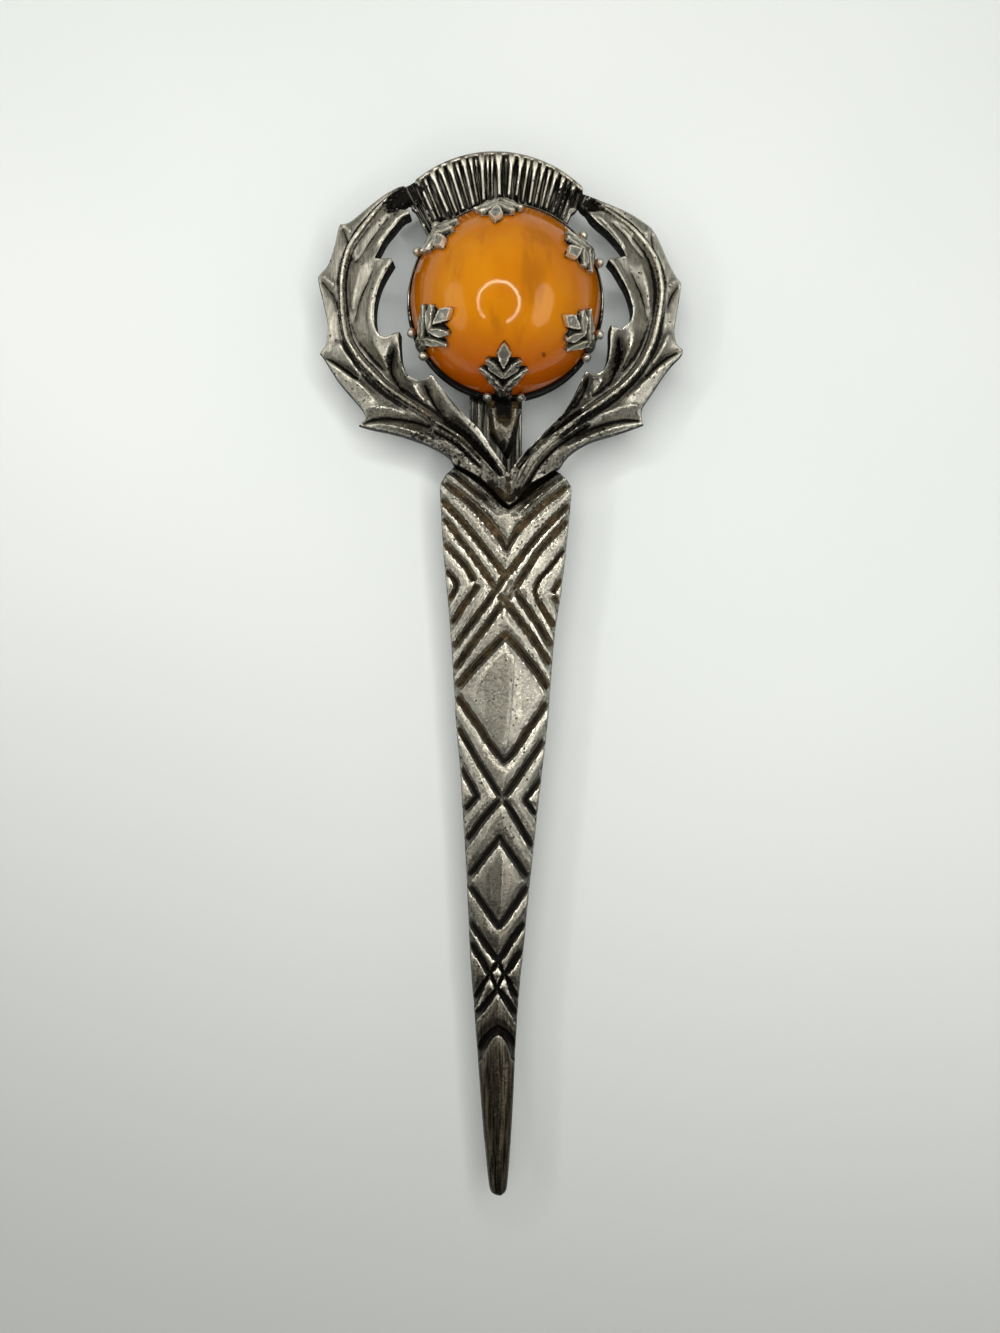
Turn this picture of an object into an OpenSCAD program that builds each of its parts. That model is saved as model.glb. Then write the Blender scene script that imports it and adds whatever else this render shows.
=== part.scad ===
// Thistle kilt pin: a cast pewter brooch with a tapering, chevron-cut blade, two holly-like leaves
// and a ribbed plume round a domed orange stone, held by six leaf claws. It lies on its pin, face up.
// +Y runs from the blade's tip to the plume, +Z is the side that is seen, and z = 0 is the table.

/* [Blade] */
// Length of the blade from its shoulders to its tip
blade_l = 68.2; // [60:0.1:80]
// Width of the blade across its shoulders
blade_w = 12.6; // [10.5:0.1:15]
// Thickness of the blade at its edges
blade_edge_t = 1.3; // [1:0.1:1.8]
// Height by which the blade's domed face rises above its edges
blade_crown = 1.2; // [0.7:0.1:1.8]
// Sideways lean of the blade's tip to the left
blade_lean = 0.75; // [0:0.05:1.5]
// Width of the cut lines of the pattern
groove_w = 0.75; // [0.5:0.05:0.95]
// Depth of the cut lines of the pattern
groove_d = 0.55; // [0.3:0.05:0.8]

/* [Leaves] */
// Reach of the left leaf's tips from the point of the V
leaf_reach_left = 18.2; // [16.5:0.1:21]
// Reach of the right leaf's tips from the point of the V
leaf_reach_right = 16.65; // [15.5:0.1:20]
// Height of the leaves from the point of the V to their tops
leaf_rise = 30.4; // [28.5:0.1:33]
// Thickness of the leaves at their inner lobes
leaf_t = 3.2; // [2.4:0.1:4]
// Distance that the point of the V hangs below the blade's shoulders
leaf_dip = 1.7; // [1:0.1:2.5]

/* [Plume] */
// Radius of the plume's top edge
plume_r = 12.05; // [11:0.05:13.5]
// Height of that radius's centre above the stone's centre
plume_rise = 2.4; // [1.5:0.1:3.5]
// Thickness of the plume between its ribs
plume_t = 1.5; // [1.2:0.1:2]
// Height of the plume's ribs
rib_h = 0.9; // [0.5:0.1:1.3]
// Number of ribs in the plume
rib_count = 24; // [16:1:28]

/* [Stone] */
// Diameter of the stone
stone_d = 18.2; // [16:0.1:19.5]
// Height of the stone's straight girdle
stone_girdle_h = 0.8; // [0.5:0.1:1.5]
// Height of the stone's dome above its girdle
stone_dome_h = 7.4; // [5.5:0.1:8.5]
// Height of the stone's centre above the blade's shoulders
stone_rise = 17.6; // [16.5:0.1:19.5]

/* [Setting] */
// Thickness of the setting's ring wall
ring_wall = 0.5; // [0.4:0.05:0.8]
// Thickness of the setting's floor
ring_floor = 0.5; // [0.4:0.05:0.9]
// Length of a claw along the dome
claw_l = 7.4; // [5.5:0.1:8.5]
// Width of a claw's leaf
claw_w = 4.8; // [3.6:0.1:5.4]
// Thickness of a claw at its middle rib
claw_t = 0.75; // [0.5:0.05:1]
// Diameter of the beads at the foot of each claw
bead_d = 0.95; // [0.6:0.05:1.2]

/* [Pin] */
// Width of the flat bar behind the casting
bar_w = 5.1; // [4.4:0.1:6]
// Thickness of the bar
bar_t = 0.7; // [0.6:0.05:1.2]
// Length of the bar
bar_l = 56; // [48:0.5:58]
// Diameter of the pin's wire
wire_d = 1.3; // [1:0.05:1.6]
// Free height for cloth between the wire and the bar
cloth_gap = 4.2; // [4.1:0.1:5.5]
// Height of the wire's underside above the table
wire_lift = 0.6; // [0.4:0.05:1]
// Length of the hinge block along the bar
hinge_l = 4.4; // [3.8:0.1:6]
// Length of the catch along the bar
catch_l = 3.2; // [2.5:0.1:5]

/* [Fits] */
// Gap between pieces that seat on each other
seat_gap = 0.1; // [0.06:0.01:0.15]
// Gap all round the wire inside its catch
wire_gap = 0.2; // [0.15:0.05:0.3]

/* [Hidden] */
$fn = 48;

// Heights, from the table up
plate_t = 1.0;
bar_z = wire_lift + wire_d + cloth_gap;
wire_z = wire_lift + wire_d / 2;
back_z = bar_z + bar_t + seat_gap;
ring_z = back_z + plate_t + seat_gap;
stone_z = ring_z + ring_floor + seat_gap;
girdle_z = stone_z + stone_girdle_h;

// Places in plan: the V's point is the middle of the leaves, and the other pieces lie left of it
head_shift = 0.25;
plume_shift = 1.25;
bar_shift = 1.2;
hinge_drop = 2.4;
overall_l = blade_l + stone_rise + plume_rise + plume_r;
shoulder_y = blade_l - overall_l / 2;
leaf_x = (leaf_reach_left - leaf_reach_right) / 2;
blade_x = leaf_x - head_shift;
stone_x = leaf_x - head_shift;
stone_y = shoulder_y + stone_rise;
plume_x = leaf_x - plume_shift;
plume_y = stone_y + plume_rise;
leaf_y = shoulder_y - leaf_dip;
bar_x = leaf_x - bar_shift;
hinge_y = stone_y - hinge_drop;
bar_top_y = hinge_y + hinge_l / 2;
catch_y = bar_top_y - bar_l + catch_l / 2;

// Radii of the stone's dome and of the ring that holds it
stone_r = stone_d / 2;
dome_r = (stone_r * stone_r + stone_dome_h * stone_dome_h) / (2 * stone_dome_h);
dome_z = girdle_z + stone_dome_h - dome_r;
ring_in_r = stone_r + seat_gap;
ring_r = ring_in_r + ring_wall;
ring_bevel = 0.3;
ring_top_z = girdle_z;

// Blade sections: share of its length, share of its width
BLADE = [
    [-0.022, 0.82], [-0.012, 0.90], [0.000, 0.98], [0.012, 1.00], [0.080, 0.954], [0.190, 0.830],
    [0.300, 0.724], [0.400, 0.628], [0.500, 0.537], [0.590, 0.460], [0.670, 0.395], [0.740, 0.332],
    [0.815, 0.278], [0.950, 0.176], [0.988, 0.130], [1.000, 0.060]
];
// Places across the blade at which its domed face bends, from its left edge to its right edge
BLADE_ACROSS = [-1, -0.88, -0.6, -0.3, 0, 0.3, 0.6, 0.88, 1];

// Cut lines of the blade: place across and share along at both ends, and share of the full width
CUTS = [
    [-1.00, -0.030, 0.04, 0.024, 1.3], [1.00, -0.024, 0.04, 0.024, 1.3],
    [-0.93, -0.018, 0.04, 0.044, 0.9], [0.93, -0.011, 0.04, 0.044, 0.9],
    [-1.02, -0.006, 0.02, 0.087, 1.1], [1.02, -0.002, 0.02, 0.087, 1.1],
    [-1.02, 0.015, 0.00, 0.128, 0.9], [1.02, 0.028, 0.00, 0.128, 0.9],
    [-1.02, 0.048, 0.00, 0.163, 0.8], [1.02, 0.045, 0.00, 0.163, 0.9],
    [0.00, 0.128, -1.02, 0.243, 1.0], [0.00, 0.128, 1.02, 0.243, 1.0],
    [0.00, 0.163, -1.02, 0.268, 0.9], [0.00, 0.163, 1.02, 0.270, 0.9],
    [-1.02, 0.079, -0.46, 0.142, 0.9], [-0.46, 0.142, -1.02, 0.210, 0.9],
    [1.02, 0.089, 0.54, 0.151, 0.7], [0.54, 0.151, 1.02, 0.209, 0.9],
    [-1.02, 0.114, -0.80, 0.139, 0.7], [-0.80, 0.139, -1.02, 0.174, 0.7],
    [1.02, 0.133, 0.84, 0.153, 0.6], [0.84, 0.153, 1.02, 0.176, 0.6],
    [0.03, 0.210, -0.98, 0.293, 1.1], [0.03, 0.210, 0.98, 0.295, 1.2],
    [-0.98, 0.297, 0.03, 0.384, 0.9], [0.98, 0.301, 0.03, 0.384, 0.9],
    [-1.02, 0.335, 0.00, 0.439, 0.9], [1.02, 0.345, 0.00, 0.439, 0.9],
    [0.00, 0.439, -1.02, 0.510, 1.0], [0.00, 0.439, 1.02, 0.515, 1.1],
    [-1.02, 0.389, -0.55, 0.440, 0.8], [-0.55, 0.440, -1.02, 0.468, 0.8],
    [1.02, 0.402, 0.64, 0.443, 0.8], [0.64, 0.443, 1.02, 0.476, 0.8],
    [0.00, 0.497, -0.98, 0.552, 1.0], [0.00, 0.497, 0.98, 0.556, 1.2],
    [-0.98, 0.559, 0.02, 0.617, 0.9], [0.98, 0.558, 0.02, 0.617, 0.9],
    [-1.02, 0.610, 0.05, 0.671, 0.9], [1.02, 0.611, 0.05, 0.671, 0.9],
    [-1.02, 0.638, 0.03, 0.707, 0.8], [1.02, 0.646, 0.03, 0.707, 0.8],
    [0.05, 0.671, -1.02, 0.732, 0.9], [0.05, 0.671, 1.02, 0.730, 0.8],
    [0.03, 0.707, -1.02, 0.748, 0.9], [0.03, 0.707, 1.02, 0.750, 0.9],
    [0.06, 0.766, -1.02, 0.804, 1.2], [0.06, 0.766, 1.02, 0.803, 1.3]
];

// Outline of a leaf, from the V's point along its teeth to its top and back along its lobes:
// shares of its reach and of its rise, and the bow of the edge that follows as a share of that edge
LEAF_LEFT = [
    [0.000, 0.000, 0], [0.287, 0.116, -0.08], [0.787, 0.242, -0.10], [0.992, 0.470, -0.10],
    [1.000, 0.711, -0.07], [0.887, 0.874, 0.02], [0.561, 0.991, 0], [0.524, 0.950, 0],
    [0.587, 0.921, 0], [0.513, 0.899, -0.03], [0.687, 0.767, 0], [0.605, 0.758, -0.14],
    [0.661, 0.520, 0], [0.576, 0.539, -0.35], [0.408, 0.409, 0.01], [0.000, 0.096, 0]
];
LEAF_RIGHT = [
    [0.000, 0.000, 0], [0.290, 0.107, -0.09], [0.776, 0.245, -0.10], [1.000, 0.481, -0.11],
    [0.991, 0.692, -0.03], [0.830, 0.855, 0.05], [0.480, 0.959, 0], [0.445, 0.931, 0],
    [0.514, 0.915, 0], [0.457, 0.903, -0.02], [0.635, 0.770, 0], [0.566, 0.761, -0.15],
    [0.664, 0.544, 0], [0.583, 0.563, -0.29], [0.440, 0.420, -0.03], [0.000, 0.096, 0]
];
// Middle vein of a leaf from the V to its top: shares of its reach and of its rise, and how far the
// leaf is raised over the blade there, as a share of its thickness
VEIN_LEFT = [
    [-0.060, 0.010, 0.40], [0.129, 0.116, 0.38], [0.266, 0.189, 0.24], [0.413, 0.258, 0.08],
    [0.571, 0.318, 0], [0.703, 0.390, 0], [0.813, 0.478, 0], [0.871, 0.566, 0], [0.876, 0.651, 0],
    [0.855, 0.755, 0], [0.797, 0.852, 0], [0.718, 0.915, 0], [0.592, 0.981, 0], [0.480, 1.010, 0]
];
VEIN_RIGHT = [
    [-0.060, 0.010, 0.40], [0.078, 0.126, 0.38], [0.181, 0.192, 0.28], [0.296, 0.236, 0.14],
    [0.468, 0.289, 0], [0.629, 0.346, 0], [0.761, 0.415, 0], [0.836, 0.509, 0], [0.874, 0.597, 0],
    [0.871, 0.676, 0], [0.813, 0.783, 0], [0.698, 0.865, 0], [0.480, 0.947, 0], [0.380, 0.960, 0]
];
// Section of a leaf across its vein: distance as a share of its rise, from the teeth to the lobes,
// and height as a share of its thickness
LEAF_SECTION = [
    [-0.20, 0.30], [-0.10, 0.55], [-0.026, 0.66], [0, 0.92], [0.026, 0.68], [0.10, 0.86], [0.22, 1.00]
];
// Creases of a leaf: share of reach, share of rise and floor's share of thickness, at both ends
CREASES_LEFT = [
    [0.887, 0.868, 0.25, 0.850, 0.800, 0.45], [0.982, 0.695, 0.20, 0.900, 0.612, 0.45],
    [0.960, 0.456, 0.20, 0.820, 0.390, 0.45], [0.740, 0.252, 0.20, 0.440, 0.240, 0.45],
    [0.640, 0.875, 0.60, 0.818, 0.750, 0.48], [0.729, 0.714, 0.60, 0.803, 0.588, 0.48],
    [0.603, 0.490, 0.60, 0.555, 0.352, 0.48], [0.430, 0.385, 0.60, 0.335, 0.258, 0.48]
];
CREASES_RIGHT = [
    [0.828, 0.846, 0.25, 0.830, 0.790, 0.45], [0.968, 0.686, 0.20, 0.905, 0.610, 0.45],
    [0.957, 0.465, 0.20, 0.784, 0.390, 0.45], [0.733, 0.258, 0.20, 0.500, 0.235, 0.45],
    [0.572, 0.874, 0.60, 0.790, 0.755, 0.48], [0.710, 0.704, 0.60, 0.805, 0.553, 0.48],
    [0.635, 0.515, 0.60, 0.597, 0.368, 0.48], [0.462, 0.390, 0.60, 0.370, 0.275, 0.48]
];
crease_w = 0.5;

// A claw's leaf from its foot to its tip: share of its length, share of half its width, share of
// its thickness at the middle and at the edge
CLAW = [
    [-0.06, 0.46, 1.0, 0.7], [0.15, 0.38, 0.9, 0.6], [0.34, 0.30, 0.8, 0.6], [0.43, 0.48, 0.8, 0.5],
    [0.58, 1.00, 0.9, 0.4], [0.615, 0.52, 0.9, 0.5], [0.70, 0.72, 0.9, 0.4], [0.73, 0.34, 1.0, 0.5],
    [0.80, 0.31, 1.0, 0.5], [0.91, 0.17, 0.8, 0.5], [1.00, 0.02, 0.5, 0.4]
];
claw_foot_deg = 82;
claw_count = 6;
claw_start_deg = 30;
// Distance of a bead from the middle of its claw, round the ring
bead_spread = 1.55;

// Points from p up to but not at q, bowed to one side by a share of their distance
function bowed(p, q, bow) =
    let (
        steps = bow == 0 ? 1 : 5,
        side = [q.y - p.y, p.x - q.x],
        middle = (p + q) / 2 + side * bow * 2
    )
    [
        for (i = [0:steps - 1])
            let (k = i / steps)
            (1 - k) * (1 - k) * p + 2 * k * (1 - k) * middle + k * k * q
    ];

// Half width, middle and domed height of the blade at a share of its length
function blade_half(s) = blade_w / 2 * lookup(s, BLADE);
function blade_mid(s) = blade_x - blade_lean * s;
function blade_y(s) = shoulder_y - blade_l * s;
function blade_top(t, s) = back_z + blade_edge_t + blade_crown * (1 - 0.55 * s) * (1 - t * t);
function on_blade(t, s) = [blade_mid(s) + t * blade_half(s), blade_y(s), blade_top(t, s)];

// Place on a leaf, whose side is -1 on the left and 1 on the right
function on_leaf(side, reach, x, y) = [leaf_x + side * reach * x, leaf_y + leaf_rise * y];

// Place on a claw, from its azimuth, distance from its foot, distance across and height over the dome
function on_claw(azimuth, along, across, lift) =
    let (
        polar = claw_foot_deg - along / dome_r * 180 / PI,
        turn = azimuth + across / (dome_r * sin(polar)) * 180 / PI,
        r = dome_r + seat_gap + lift
    )
    [stone_x + r * sin(polar) * cos(turn), stone_y + r * sin(polar) * sin(turn), dome_z + r * cos(polar)];

// Solid between a grid of upper points and a grid of lower points
module between_grids(upper, lower) {
    rows = len(upper);
    cols = len(upper[0]);
    low = rows * cols;
    function at(r, c) = r * cols + c;
    quads = [
        for (r = [0:rows - 2], c = [0:cols - 2]) [at(r, c), at(r, c + 1), at(r + 1, c + 1), at(r + 1, c)],
        for (r = [0:rows - 2], c = [0:cols - 2])
            [low + at(r, c), low + at(r + 1, c), low + at(r + 1, c + 1), low + at(r, c + 1)],
        for (r = [0:rows - 2]) [at(r, 0), at(r + 1, 0), low + at(r + 1, 0), low + at(r, 0)],
        for (r = [0:rows - 2])
            [at(r + 1, cols - 1), at(r, cols - 1), low + at(r, cols - 1), low + at(r + 1, cols - 1)],
        for (c = [0:cols - 2]) [at(0, c + 1), at(0, c), low + at(0, c), low + at(0, c + 1)],
        for (c = [0:cols - 2])
            [at(rows - 1, c), at(rows - 1, c + 1), low + at(rows - 1, c + 1), low + at(rows - 1, c)]
    ];
    polyhedron(
        points = [for (row = upper) each row, for (row = lower) each row],
        faces = [for (q = quads) each [[q[0], q[1], q[2]], [q[0], q[2], q[3]]]]
    );
}

// Sharp scoring tool whose point is at p
module scriber(p, w, d) {
    rise = d + 0.8;
    translate(p) cylinder(h = rise, r1 = 0.03, r2 = w / 2 * rise / d, $fn = 6);
}

module blade() {
    upper = [for (row = BLADE) [for (t = BLADE_ACROSS) on_blade(t, row[0])]];
    lower = [for (row = upper) [for (p = row) [p.x, p.y, back_z]]];
    between_grids(upper, lower);
}

module blade_cuts() {
    pieces = 2;
    for (cut = CUTS)
        for (i = [0:pieces - 1]) {
            k0 = i / pieces;
            k1 = (i + 1) / pieces;
            a = on_blade(cut[0] + (cut[2] - cut[0]) * k0, cut[1] + (cut[3] - cut[1]) * k0);
            b = on_blade(cut[0] + (cut[2] - cut[0]) * k1, cut[1] + (cut[3] - cut[1]) * k1);
            hull() {
                scriber(a - [0, 0, groove_d * cut[4]], groove_w * cut[4], groove_d * cut[4]);
                scriber(b - [0, 0, groove_d * cut[4]], groove_w * cut[4], groove_d * cut[4]);
            }
        }
}

// Outline of a leaf in plan
module leaf_outline(side, reach, outline) {
    corners = [for (p = outline) on_leaf(side, reach, p[0], p[1])];
    n = len(corners);
    polygon([for (i = [0:n - 1]) each bowed(corners[i], corners[(i + 1) % n], outline[i][2] * side)]);
}

// Cover whose upper face has the leaf's section, swept along its vein
module leaf_cover(side, reach, vein) {
    path = [for (p = vein) on_leaf(side, reach, p[0], p[1])];
    n = len(path);
    upper = [
        for (i = [0:n - 1])
            let (
                ahead = path[min(i + 1, n - 1)] - path[max(i - 1, 0)],
                inward = side * [-ahead.y, ahead.x] / norm(ahead)
            )
            [
                for (s = LEAF_SECTION)
                    let (p = path[i] + inward * s[0] * leaf_rise)
                    [p.x, p.y, back_z + leaf_t * (s[1] + vein[i][2])]
            ]
    ];
    lower = [for (row = upper) [for (p = row) [p.x, p.y, back_z]]];
    mirror_order = side > 0;
    function turned(grid) = mirror_order ? grid : [for (row = grid) [for (i = [len(row) - 1:-1:0]) row[i]]];
    between_grids(turned(upper), turned(lower));
}

module leaf(side, reach, outline, vein, creases) {
    difference() {
        intersection() {
            leaf_cover(side, reach, vein);
            translate([0, 0, back_z - 1]) linear_extrude(1 + leaf_t * 2) leaf_outline(side, reach, outline);
        }
        for (c = creases) {
            a = on_leaf(side, reach, c[0], c[1]);
            b = on_leaf(side, reach, c[3], c[4]);
            hull() {
                scriber([a.x, a.y, back_z + leaf_t * c[2]], crease_w, groove_d);
                scriber([b.x, b.y, back_z + leaf_t * c[5]], crease_w, groove_d);
            }
        }
    }
}

// Fan of the thistle's flower, with its ribs
plume_left_deg = 130;
plume_right_deg = 43;
plume_foot = [4, 3];
rib_root_drop = 7.5;
rib_root_r = 0.36;
rib_sink = 0.1;
module plume() {
    root = [plume_x, plume_y - rib_root_drop];
    function on_arc(angle, r) = [plume_x + r * cos(angle), plume_y + r * sin(angle)];
    turns = [for (i = [0:16]) plume_left_deg + (plume_right_deg - plume_left_deg) * i / 16];
    translate([0, 0, back_z]) linear_extrude(plume_t)
        polygon([
            for (a = turns) on_arc(a, plume_r),
            root + plume_foot,
            root + [-plume_foot.x, plume_foot.y]
        ]);
    for (i = [0:rib_count - 1]) {
        angle = plume_left_deg + (plume_right_deg - plume_left_deg) * (i + 0.5) / rib_count;
        outer = on_arc(angle, plume_r - rib_root_r);
        inner = outer + (root - outer) * 0.55;
        hull() {
            translate([outer.x, outer.y, back_z + plume_t - rib_sink])
                cylinder(h = rib_h, r1 = rib_root_r, r2 = rib_root_r * 0.55, $fn = 6);
            translate([inner.x, inner.y, back_z + plume_t - rib_sink])
                cylinder(h = rib_h * 0.6, r1 = rib_root_r * 0.55, r2 = rib_root_r * 0.3, $fn = 6);
        }
    }
}

// Small bridge from a corner of the plume to the top of a leaf
lug_r = 0.7;
lug_inset = 0.9;
module lug(leaf_top, angle) {
    corner_r = plume_r - lug_inset;
    corner = [plume_x + corner_r * cos(angle), plume_y + corner_r * sin(angle)];
    hull()
        for (p = [leaf_top, corner])
            translate([p.x, p.y, back_z]) cylinder(h = plume_t + 0.3, r = lug_r, $fn = 16);
}

// Round plate behind the setting and the wedge-shaped stem below it
stem_top_r = 1.6;
stem_foot_r = 0.7;
module bulb_and_stem() {
    translate([stone_x, stone_y, back_z]) cylinder(h = plate_t, r = ring_r - 0.2);
    hull() {
        translate([stone_x, stone_y - ring_r + stem_top_r / 2, back_z])
            cylinder(h = plate_t + 0.6, r = stem_top_r, $fn = 24);
        translate([leaf_x, leaf_y + leaf_rise * 0.12, back_z])
            cylinder(h = plate_t + 1.0, r = stem_foot_r, $fn = 24);
    }
}

module casting() {
    color([0.46, 0.46, 0.43]) difference() {
        union() {
            difference() {
                blade();
                blade_cuts();
            }
            leaf(-1, leaf_reach_left, LEAF_LEFT, VEIN_LEFT, CREASES_LEFT);
            leaf(1, leaf_reach_right, LEAF_RIGHT, VEIN_RIGHT, CREASES_RIGHT);
            plume();
            lug(on_leaf(-1, leaf_reach_left, 0.60, 0.965), plume_left_deg + 1);
            lug(on_leaf(1, leaf_reach_right, 0.50, 0.935), plume_right_deg - 1);
            bulb_and_stem();
        }
        translate([stone_x, stone_y, ring_z - seat_gap])
            cylinder(h = leaf_t + 4, r = ring_r + bead_d * 0.5 + seat_gap, $fn = 96);
    }
}

// Leaf of one claw, bent over the dome
module claw(azimuth) {
    shares = [1, 0.5, 0, -0.5, -1];
    function lift(row, share) = claw_t * (row[2] + (row[3] - row[2]) * abs(share));
    function at(row, share, height) =
        on_claw(azimuth, row[0] * claw_l, share * row[1] * claw_w / 2, height);
    upper = [for (row = CLAW) [for (s = shares) at(row, s, lift(row, s))]];
    lower = [for (row = CLAW) [for (s = shares) at(row, s, 0)]];
    between_grids(upper, lower);
}

// Pair of beads on the ring at a claw's foot
module beads(azimuth) {
    wall_r = ring_r - ring_wall / 2;
    for (side = [-1, 1]) {
        angle = azimuth + side * bead_spread / ring_r * 180 / PI;
        out = [cos(angle), sin(angle), 0];
        hull() {
            translate([stone_x, stone_y, ring_top_z - bead_d * 0.4] + out * ring_r)
                sphere(d = bead_d, $fn = 10);
            translate([stone_x, stone_y, ring_z + ring_floor] + out * wall_r)
                cylinder(h = 0.3, r = ring_wall * 0.4, $fn = 8);
        }
    }
}

module claw_setting() {
    color([0.42, 0.42, 0.39]) {
        translate([stone_x, stone_y, 0]) rotate_extrude($fn = 72) polygon([
            [0, ring_z], [ring_r - ring_bevel, ring_z], [ring_r, ring_z + ring_bevel],
            [ring_r, ring_top_z - ring_bevel / 2], [ring_r - ring_bevel / 2, ring_top_z],
            [ring_in_r, ring_top_z], [ring_in_r, ring_z + ring_floor], [0, ring_z + ring_floor]
        ]);
        for (i = [0:claw_count - 1]) {
            claw(claw_start_deg + i * 360 / claw_count);
            beads(claw_start_deg + i * 360 / claw_count);
        }
    }
}

module stone() {
    color([0.82, 0.42, 0.06]) translate([stone_x, stone_y, 0]) {
        translate([0, 0, stone_z]) cylinder(h = stone_girdle_h, r = stone_r);
        intersection() {
            translate([0, 0, dome_z]) sphere(r = dome_r);
            translate([0, 0, girdle_z - 0.01]) cylinder(h = stone_dome_h + 1, r = stone_r);
        }
    }
}

// Hidden pin: flat bar, hinge block, wire and catch, soldered into one
catch_lip = 0.95;
wire_past = 0.7;
point_l = 2.4;
point_d = 0.3;
foot_r = hinge_l * 0.55;
foot_lift = foot_r * 0.96;
module pin_back() {
    catch_w = wire_d + 2 * (wire_gap + catch_lip);
    wire_end_y = catch_y - catch_l * wire_past;
    color([0.62, 0.62, 0.60]) {
        translate([bar_x - bar_w / 2, bar_top_y - bar_l, bar_z]) cube([bar_w, bar_l, bar_t]);
        intersection() {
            translate([bar_x - bar_w / 2, hinge_y - hinge_l / 2, 0])
                cube([bar_w, hinge_l, bar_z + bar_t / 2]);
            translate([bar_x - bar_w / 2, hinge_y, foot_lift]) rotate([0, 90, 0]) union() {
                cylinder(h = bar_w, r = foot_r);
                translate([-bar_z - bar_t, -hinge_l / 2, 0]) cube([bar_z + bar_t, hinge_l, bar_w]);
            }
        }
        translate([bar_x, hinge_y, wire_z]) rotate([90, 0, 0]) cylinder(h = hinge_y - wire_end_y, d = wire_d);
        translate([bar_x, wire_end_y, wire_z]) rotate([90, 0, 0])
            cylinder(h = point_l, d1 = wire_d, d2 = point_d);
        // Catch, open on one side so that the wire can be lifted out
        difference() {
            translate([bar_x - catch_w / 2, catch_y - catch_l / 2, 0])
                cube([catch_w, catch_l, bar_z + bar_t / 2]);
            translate([bar_x, catch_y + catch_l, wire_z]) rotate([90, 0, 0])
                cylinder(h = catch_l * 2, d = wire_d + 2 * wire_gap);
            translate([bar_x, catch_y - catch_l, wire_z])
                cube([catch_w, catch_l * 2, wire_d / 2 + wire_gap]);
        }
    }
}

casting();
claw_setting();
stone();
pin_back();
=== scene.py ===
"""Looks of the thistle kilt pin: a cast pewter brooch with a chevron-cut blade, two holly-like leaves
and a ribbed plume, an orange stone under six leaf claws, and a steel pin behind.

Shapes are worked out in millimetres and turned into metres when a mesh is made. Most outlines and carved
lines are given as the photograph shows them, in pixels of its 1000 x 1333 frame, and seen() turns them
into places on the piece at their real height."""

import math

import bmesh
import bpy
import numpy as np
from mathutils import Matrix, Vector
from mathutils.geometry import delaunay_2d_cdt
from mathutils.kdtree import KDTree


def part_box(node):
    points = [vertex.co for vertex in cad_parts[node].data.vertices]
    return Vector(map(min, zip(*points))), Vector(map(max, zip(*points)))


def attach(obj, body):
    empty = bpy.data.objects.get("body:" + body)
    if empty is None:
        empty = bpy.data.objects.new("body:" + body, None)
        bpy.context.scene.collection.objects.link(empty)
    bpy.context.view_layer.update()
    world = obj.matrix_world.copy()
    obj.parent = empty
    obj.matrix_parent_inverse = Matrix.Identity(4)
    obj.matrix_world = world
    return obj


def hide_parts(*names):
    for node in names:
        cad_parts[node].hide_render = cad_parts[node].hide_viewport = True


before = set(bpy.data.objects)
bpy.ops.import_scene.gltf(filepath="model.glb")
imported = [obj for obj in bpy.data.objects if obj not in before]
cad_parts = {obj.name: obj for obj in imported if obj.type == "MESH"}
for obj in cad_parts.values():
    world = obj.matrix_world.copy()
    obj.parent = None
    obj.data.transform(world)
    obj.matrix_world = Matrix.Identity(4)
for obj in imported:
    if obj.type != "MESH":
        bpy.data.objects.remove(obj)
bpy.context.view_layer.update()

MM = 0.001
TINY = 1e-9

# The photograph's camera: it looks straight down on the middle of the pin. Lengths are in mm
PHOTO_W, PHOTO_H = 1000, 1333
PIXELS_PER_MM = 10.45
FACE_Z = 9.0
CAMERA_RISE = 165.0
CAMERA_Y = 0.67
CAMERA_Z = FACE_Z + CAMERA_RISE

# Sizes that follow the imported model
BACK_Z = (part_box("casting")[0] / MM).z
STONE_LOW, STONE_HIGH = (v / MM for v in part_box("stone"))
STONE_X = (STONE_LOW.x + STONE_HIGH.x) / 2
STONE_Y = (STONE_LOW.y + STONE_HIGH.y) / 2
STONE_R = (STONE_HIGH.x - STONE_LOW.x) / 2
GIRDLE_H = 0.8
GIRDLE_Z = STONE_LOW.z + GIRDLE_H
DOME_H = STONE_HIGH.z - GIRDLE_Z
DOME_R = (STONE_R**2 + DOME_H**2) / (2 * DOME_H)
DOME_Z = STONE_HIGH.z - DOME_R


def seen(px, py, height):
    """Place in plan, in mm, of what the photograph shows at (px, py), that much above the casting's back."""
    scale = (CAMERA_Z - BACK_Z - height) / CAMERA_RISE / PIXELS_PER_MM
    return (px - PHOTO_W / 2) * scale, CAMERA_Y + (PHOTO_H / 2 - py) * scale


def spots(points, height=None):
    """Rows of (x, y, height) in mm, from rows of (px, py) or (px, py, height)."""
    rows = [(*p[:2], p[2] if len(p) > 2 else height) for p in points]
    return np.array([(*seen(px, py, h), h) for px, py, h in rows])


# Curves


def smooth_curve(points, step):
    """Rows a step apart, about, along a smooth curve through the given rows, or straight between two."""
    points = np.asarray(points, float)
    straight = len(points) == 2
    bends = np.vstack([2 * points[0] - points[1], points, 2 * points[-1] - points[-2]])
    rows = []
    for i in range(len(points) - 1):
        a, b, c, d = bends[i : i + 4]
        count = max(1, int(round(np.linalg.norm((c - b)[:2]) / step)))
        for k in np.arange(count) / count:
            if straight:
                rows.append(b + (c - b) * k)
                continue
            square, cube = 2 * a - 5 * b + 4 * c - d, 3 * b - a - 3 * c + d
            rows.append(0.5 * (2 * b + (c - a) * k + square * k**2 + cube * k**3))
    rows.append(points[-1])
    return np.array(rows)


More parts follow.
